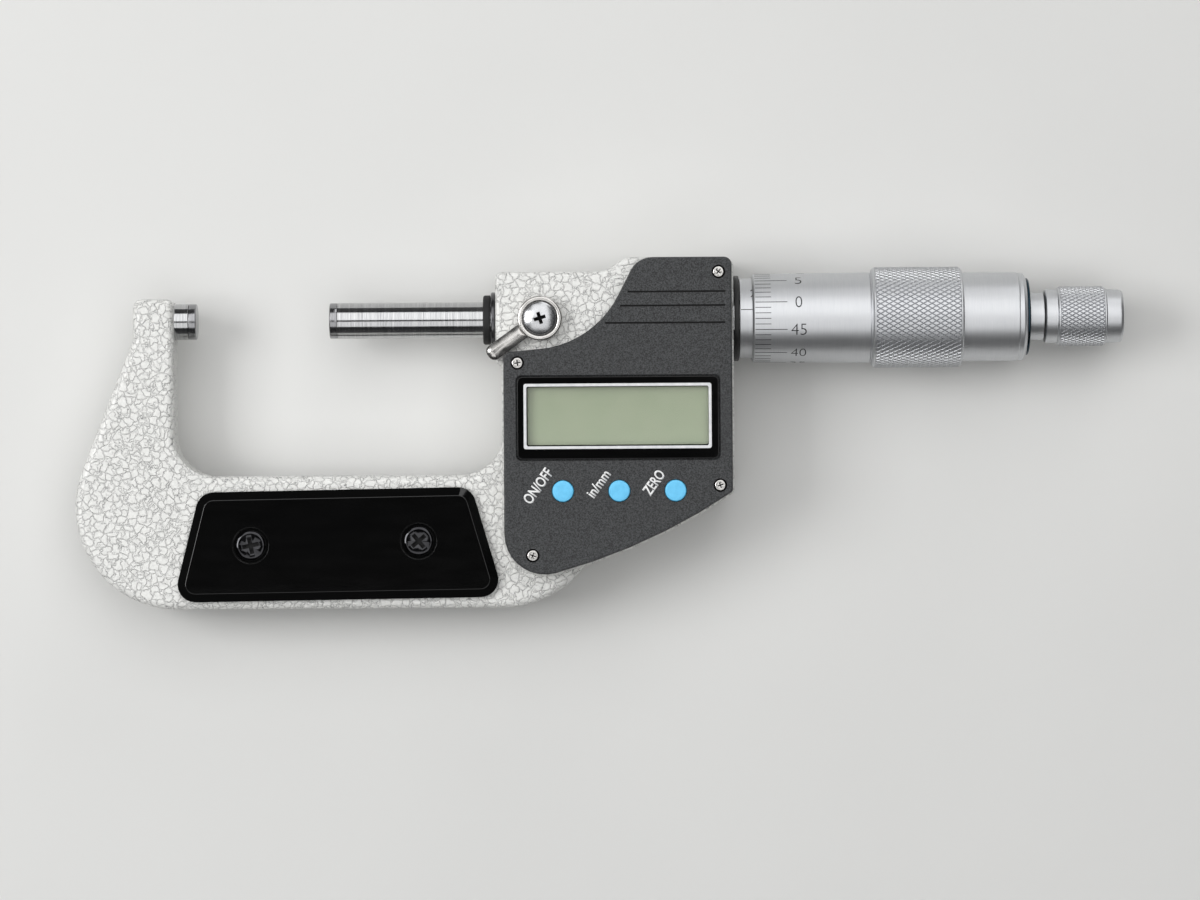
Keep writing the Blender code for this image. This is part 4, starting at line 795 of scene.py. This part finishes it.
def make_spindle():
    """Anvil, spindle and their carbide faces, and the seal at the mouth of the boss."""
    anvil = [(-10.3, 2.85), (-9.9, 3.25), (-1.45, 3.25), (-1.45, 0.3)]
    anvil = turned("ground_anvil", eased(anvil, 0.05))
    finished(soften(anvil), STEEL, "frame", "ground_steel", "anvil")
    tip = [(-1.35, 0.3), (-1.35, 3.22), (-0.15, 3.22), (0, 3.07), (0, 0.3)]
    tip = turned("anvil_face", eased(tip, 0.03))
    finished(soften(tip), CARBIDE, "frame", "carbide", "anvil_tip")
    tip = [(25.35, 0.3), (25.35, 3.22), (24.15, 3.22), (24, 3.07), (24, 0.3)]
    tip = turned("spindle_face", eased(tip, 0.03))
    finished(soften(tip), CARBIDE, "spindle", "carbide", "spindle_tip")
    finished(adopted("spindle", "ground_spindle"), STEEL, "spindle", "ground_steel", "spindle")
    seal = [(51.7, 3.45), (51.7, 4.25), (52.0, 4.45), (53.0, 4.45), (53.0, 3.45), (51.7, 3.45)]
    seal = turned("wiper_seal", eased(seal[:-1], 0.12) + [seal[0]])
    finished(soften(seal), RUBBER, "frame", "black_rubber", "spindle_seal")
    ring = [(53.1, 3.45), (53.1, 4.85), (53.25, 5.0), (53.9, 5.0), (53.9, 4.5)]
    ring += [(54.5, 4.5), (54.5, 3.45), (53.1, 3.45)]
    ring = turned("boss_ring", eased(ring[:-1], 0.1) + [ring[0]])
    finished(soften(ring), DARK_RING_STEEL, "frame", "ground_steel", "seal_ring")


def cone_radius(x):
    """Radius of the thimble's graduated cone at a place along it."""
    (left, small), (right, large) = THIMBLE_CONE
    return small + (large - small) * (x - left) / (right - left)


def make_thimble():
    """Thimble with a bevelled front edge and a knurled band, and the ring behind it."""
    start, end, rows, sides = 122.15, 137.45, 10, 64
    groove, rise = 0.105, 0.17
    profile = [(138.3, 7.35), (100.1, 7.35), (100.1, 7.58), (100.42, 7.93)]
    profile += [(x, cone_radius(x)) for x in (100.6, 107, 114, 121.2)]
    profile += [(121.45, 8.02), (121.6, 8.02), (121.7, 8.6), (121.95, 8.88)]
    profile += steps_between(start, end, rows, 8.9)
    profile += [(137.65, 8.88), (137.9, 8.6), (138.0, 8.0), (143, 8.0), (147.7, 8.0)]
    profile += [(147.95, 7.93), (148.05, 7.84), (148.15, 7.88), (148.8, 7.88), (148.95, 7.8)]
    profile += [(149.2, 7.5), (149.4, 7.2), (149.4, 4.45), (138.3, 5.1), (138.3, 7.35)]
    thimble = turned("chrome_thimble", profile, sides=sides)
    knurled(thimble, start, end, groove, rise)
    finished(soften(thimble, 0, 24), CHROME, "spindle", "satin_chrome", "thimble")
    dulled(thimble, start, end)
    ring = [(149.5, 1.65), (149.5, 6.95), (149.8, 6.95), (149.95, 6.75)]
    ring += [(149.95, 1.65), (149.5, 1.65)]
    ring = turned("thimble_ring", eased(ring[:-1], 0.06) + [ring[0]])
    finished(soften(ring), ANODISED, "spindle", "ring_anodised", "thimble_end_ring")
    return thimble


def make_sleeve():
    """Sleeve under the thimble, with its spanner hole underneath, and the dark collar at the head."""
    sleeve = [(97.87, 5.7), (97.87, SLEEVE_R), (127.5, SLEEVE_R), (127.5, 5.7), (97.87, 5.7)]
    sleeve = turned("graduated_sleeve", eased(sleeve[:-1], 0.08) + [sleeve[0]], sides=144)
    hole = turned("spanner_hole", [(-9, 0.8), (-5, 0.8)], (103.97, 0), 32)
    boolean(sleeve, hole, "DIFFERENCE")
    finished(soften(sleeve), CHROME, "frame", "satin_chrome", "outer_sleeve")
    collar = [(96.87, 5.7), (96.87, 7.7), (97.6, 7.7), (97.77, 7.55), (97.77, 5.7), (96.87, 5.7)]
    collar = turned("black_collar", eased(collar[:-1], 0.08) + [collar[0]])
    finished(soften(collar), COLLAR, "frame", "collar_plastic", "sleeve_collar")
    return sleeve


def make_ratchet():
    """Ratchet stop: neck, knurled knob and end cap."""
    neck = [(150.05, 1.5), (150.05, 4.1), (150.2, 4.25), (152.65, 4.25), (152.65, 1.5)]
    neck += [(163.95, 1.5), (163.95, 2.9), (164.65, 2.9), (164.65, 0.3)]
    neck = turned("ratchet_neck", eased(neck, 0.06))
    finished(soften(neck), CHROME, "spindle", "satin_chrome", "ratchet_stem")
    start, end, rows, sides = 155.5, 163.5, 6, 46
    groove, rise = 0.1, 0.17
    profile = [(152.95, 1.7), (152.95, 4.7), (153.1, 4.85), (155.05, 4.85)]
    profile += [(155.15, 5.0), (155.3, 5.2)] + steps_between(start, end, rows, 5.21)
    profile += [(163.7, 5.2), (163.85, 5.0), (163.95, 4.85), (166.3, 4.76), (166.6, 4.68)]
    profile += [(166.85, 4.5), (166.95, 4.25), (166.95, 3.5), (156.05, 3.5), (156.05, 1.7)]
    profile += [(152.95, 1.7)]
    knob = turned("ratchet_grip", profile, sides=sides)
    knurled(knob, start, end, groove, rise)
    finished(soften(knob, 0, 24), CHROME, "ratchet_knob", "satin_chrome", "ratchet_knob")
    dulled(knob, start, end)
    cap = [(165.5, 0.3), (165.5, 3.4), (166.4, 3.4), (166.7, 2.7), (166.8, 0.3)]
    cap = turned("ratchet_end_cap", eased(cap, 0.15))
    finished(soften(cap), CHROME, "ratchet_knob", "satin_chrome", "ratchet_cap")


def mark(name, left, right, radius_left, radius_right, width):
    """Fine filled line along a turned surface, at the front."""
    line = block(name, (left, -width / 2, -0.03), (right, width / 2, 0.012))
    edit(line)
    for x, radius in ((left, radius_left), (right, radius_right)):
        pick("FACE", lambda f: abs(f.calc_center_median().x - x * MM) < ONE_LEVEL)
        bpy.ops.transform.translate(value=(0, 0, radius * MM))
    object_mode()
    return line


def wrapped(word, target, height):
    """Lays flat lettering on the front of a turned surface, dropped from a height above it, in
    strips narrow enough to follow it."""
    strips = 6
    edit(word)
    low, high = word.bound_box[0][1], word.bound_box[2][1]
    for i in range(1, strips):
        bpy.ops.mesh.select_all(action="SELECT")
        cut = low + (high - low) * i / strips
        bpy.ops.mesh.bisect(plane_co=(0, cut, 0), plane_no=(0, 1, 0))
    object_mode()
    put(word, (0, 0, height))
    applied(
        word, "SHRINKWRAP", target=target, wrap_method="PROJECT", use_project_z=True,
        use_negative_direction=True, use_positive_direction=False, offset=0.012 * MM,
    )
    return applied(word, "SOLIDIFY", thickness=0.03 * MM, offset=-1)


def ring_mark(name, reach):
    """Short filled line round the sleeve at x = 0, up or down from the index line by an angle."""
    deselect()
    bpy.ops.mesh.primitive_plane_add(size=1)
    obj = bpy.context.object
    obj.name = name
    obj.scale = (MARK_WIDTH * MM, 0.02 * MM, 1)
    bpy.ops.object.transform_apply(location=True, rotation=True, scale=True)
    put(obj, (0, 0, SLEEVE_R), (90, 0, 0))
    edit(obj)
    parts = 4
    for _ in range(parts):
        turn = math.radians(reach / parts)
        bpy.ops.mesh.extrude_region_move()
        bpy.ops.transform.rotate(value=turn, orient_axis="X", center_override=(0, 0, 0))
    bpy.ops.mesh.select_all(action="SELECT")
    bpy.ops.mesh.normals_make_consistent(inside=False)
    object_mode()
    return put(obj, (0, 0, 0), (-INDEX_ANGLE, 0, 0))


def thimble_mark(name, right, width):
    """Line along the thimble's cone from its edge, at the front."""
    left = THIMBLE_LINE_X
    return mark(name, left, right, cone_radius(left), cone_radius(right), width)


def make_thimble_scale(thimble):
    """Lines round the thimble's edge, every fifth longer and with its number."""
    step, drop = 360 / THIMBLE_LINES, 12
    short = thimble_mark("short", 103.4, MARK_WIDTH)
    long = thimble_mark("long", 106.3, 0.12)
    parts = []
    for i in range(THIMBLE_LINES):
        line = copy_of(short if i % 5 else long, f"line_{i}")
        parts.append(put(line, (0, 0, 0), (-(ZERO_ANGLE + step * i), 0, 0)))
    for i in range(0, THIMBLE_LINES, 5):
        text = str(i)
        length = 1.2 if len(text) == 1 else 2.75
        word = lettering(f"number_{i}", text, length, 2.1, -0.03)
        put(word, (THIMBLE_NUMBER_X, 0, 0))
        wrapped(word, thimble, drop)
        parts.append(put(word, (0, 0, 0), (-(ZERO_ANGLE + step * i), 0, 0)))
    discard(short, long)
    finished(joined(parts, "thimble_scale"), MARKS, "spindle", "satin_chrome")


def make_sleeve_scale(sleeve):
    """Index line, with millimetres above it, halves below it and a number at every fifth."""
    drop = 12
    index = mark("index", 98.0, 127.2, SLEEVE_R, SLEEVE_R, 0.13)
    parts = [put(index, (0, 0, 0), (-INDEX_ANGLE, 0, 0))]
    fifth, whole, half = (ring_mark("tick", reach) for reach in (15.5, 11.5, -11.5))
    for i in range(51):
        kind = half if i % 2 else whole
        if i % 10 == 0:
            kind = fifth
        parts.append(put(copy_of(kind, f"tick_{i}"), (FIRST_MM_X + i / 2, 0, 0)))
    for i in range(6):
        word = lettering(f"sleeve_number_{i}", str(25 + 5 * i), 2.1, 1.7, 0.0)
        put(word, (FIRST_MM_X - 0.15 + 5 * i, 0, 0))
        wrapped(word, sleeve, drop)
        parts.append(put(word, (0, 0, 0), (-(INDEX_ANGLE + NUMBER_ANGLE), 0, 0)))
    discard(fifth, whole, half)
    finished(joined(parts, "sleeve_scale"), MARKS, "frame", "satin_chrome")


def dress_inner_solids():
    """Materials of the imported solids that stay, most of them inside."""
    worn = {
        "lcd": LCD, "lcd_connector": RUBBER, "cap_seal": RUBBER,
        "button_switch_1": SWITCH, "button_switch_2": SWITCH, "button_switch_3": SWITCH,
        "circuit_board": LAMINATE, "encoder_stator": LAMINATE, "encoder_rotor": LAMINATE,
        "rotor_key": STEEL, "spindle_bush": STEEL, "inner_sleeve": STEEL, "adjusting_nut": STEEL,
        "ratchet_pawl": STEEL, "ratchet_spring": STEEL, "lock_pad": BRASS,
        "battery": NICKEL, "battery_contact": NICKEL,
    }
    for name, material in worn.items():
        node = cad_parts[name]
        if not node.material_slots:
            node.data.materials.append(material)
        for holder in node.material_slots:
            holder.material = material


def make_studio():
    """Pale floor, soft lamps and the camera."""
    floor_level = -9.62  # just under the lowest piece
    view_x, view_y, view_width, view_turn = 72.6, -23.6, 216.72, -0.38
    camera_height = 800
    deselect()
    bpy.ops.mesh.primitive_plane_add(size=8, location=(0.07, -0.02, floor_level * MM))
    floor = bpy.context.object
    floor.name = "floor"
    material, tree, shader, where = surface("pale_floor", 0.7)
    cloud = add(tree, "TexNoise", {"Vector": where, "Scale": 1 / 60, "Detail": 3})
    tone = add(tree, "Mix", {0: cloud, 6: "#DCDCDA", 7: "#E2E2E0"}, 2, data_type="RGBA")
    feed(shader, {"Base Color": tone})
    floor.data.materials.append(material)

    world = bpy.data.worlds.new("studio")
    bpy.context.scene.world = world
    world.use_nodes = True
    tree = world.node_tree
    place = add(tree, "TexCoord", {}, "Generated")
    height = add(tree, "SeparateXYZ", {"Vector": place}, "Z")
    share = add(tree, "MapRange", {"Value": height, "From Max": 0.6})
    tone = add(tree, "Mix", {0: share, 6: "#7C7C7C", 7: "#4A4B4C"}, 2, data_type="RGBA")
    feed(tree.nodes["Background"], {"Color": tone, "Strength": 0.5})

    # Softboxes that face down, parted by a slot for the camera, and lower ones on the left and
    # behind: place and size in metres, power in watts, turns about X and Y in degrees
    lamps = (
        ("north", (0.05, 0.6, 0.85), (1.2, 1.1), 6.4, (0, 0)),
        ("south", (0.05, -0.4, 0.85), (1.2, 0.6), 2.6, (0, 0)),
        ("east", (0.41, -0.01, 0.85), (0.56, 0.12), 0.33, (0, 0)),
        ("west", (-0.6, 0.1, 0.66), (0.4, 0.5), 4.2, (0, -42)),
        ("far", (0.5, 1.15, 0.4), (0.7, 0.6), 2.2, (-62, 0)),
    )
    for name, at, size, power, turn in lamps:
        lamp = bpy.data.lights.new(name, "AREA")
        lamp.shape = "RECTANGLE"
        lamp.size, lamp.size_y = size
        lamp.energy = power
        obj = bpy.data.objects.new(name, lamp)
        bpy.context.scene.collection.objects.link(obj)
        obj.location = at
        obj.rotation_euler = [math.radians(a) for a in (*turn, 0)]
        obj.visible_camera = False

    lens = bpy.data.cameras.new("camera")
    lens.sensor_width = 36
    lens.lens = lens.sensor_width * camera_height / view_width
    lens.clip_start, lens.clip_end = 0.01, 20
    camera = bpy.data.objects.new("camera", lens)
    bpy.context.scene.collection.objects.link(camera)
    camera.location = Vector((view_x, view_y, camera_height)) * MM
    camera.rotation_euler = (0, 0, math.radians(view_turn))
    bpy.context.scene.camera = camera
    bpy.context.scene.view_settings.view_transform = "Standard"


make_studio()
make_body()
make_screws()
make_window()
make_buttons()
make_labels()
make_lock()
make_spindle()
graduated = make_sleeve()
turned_thimble = make_thimble()
make_ratchet()
make_thimble_scale(turned_thimble)
make_sleeve_scale(graduated)
dress_inner_solids()
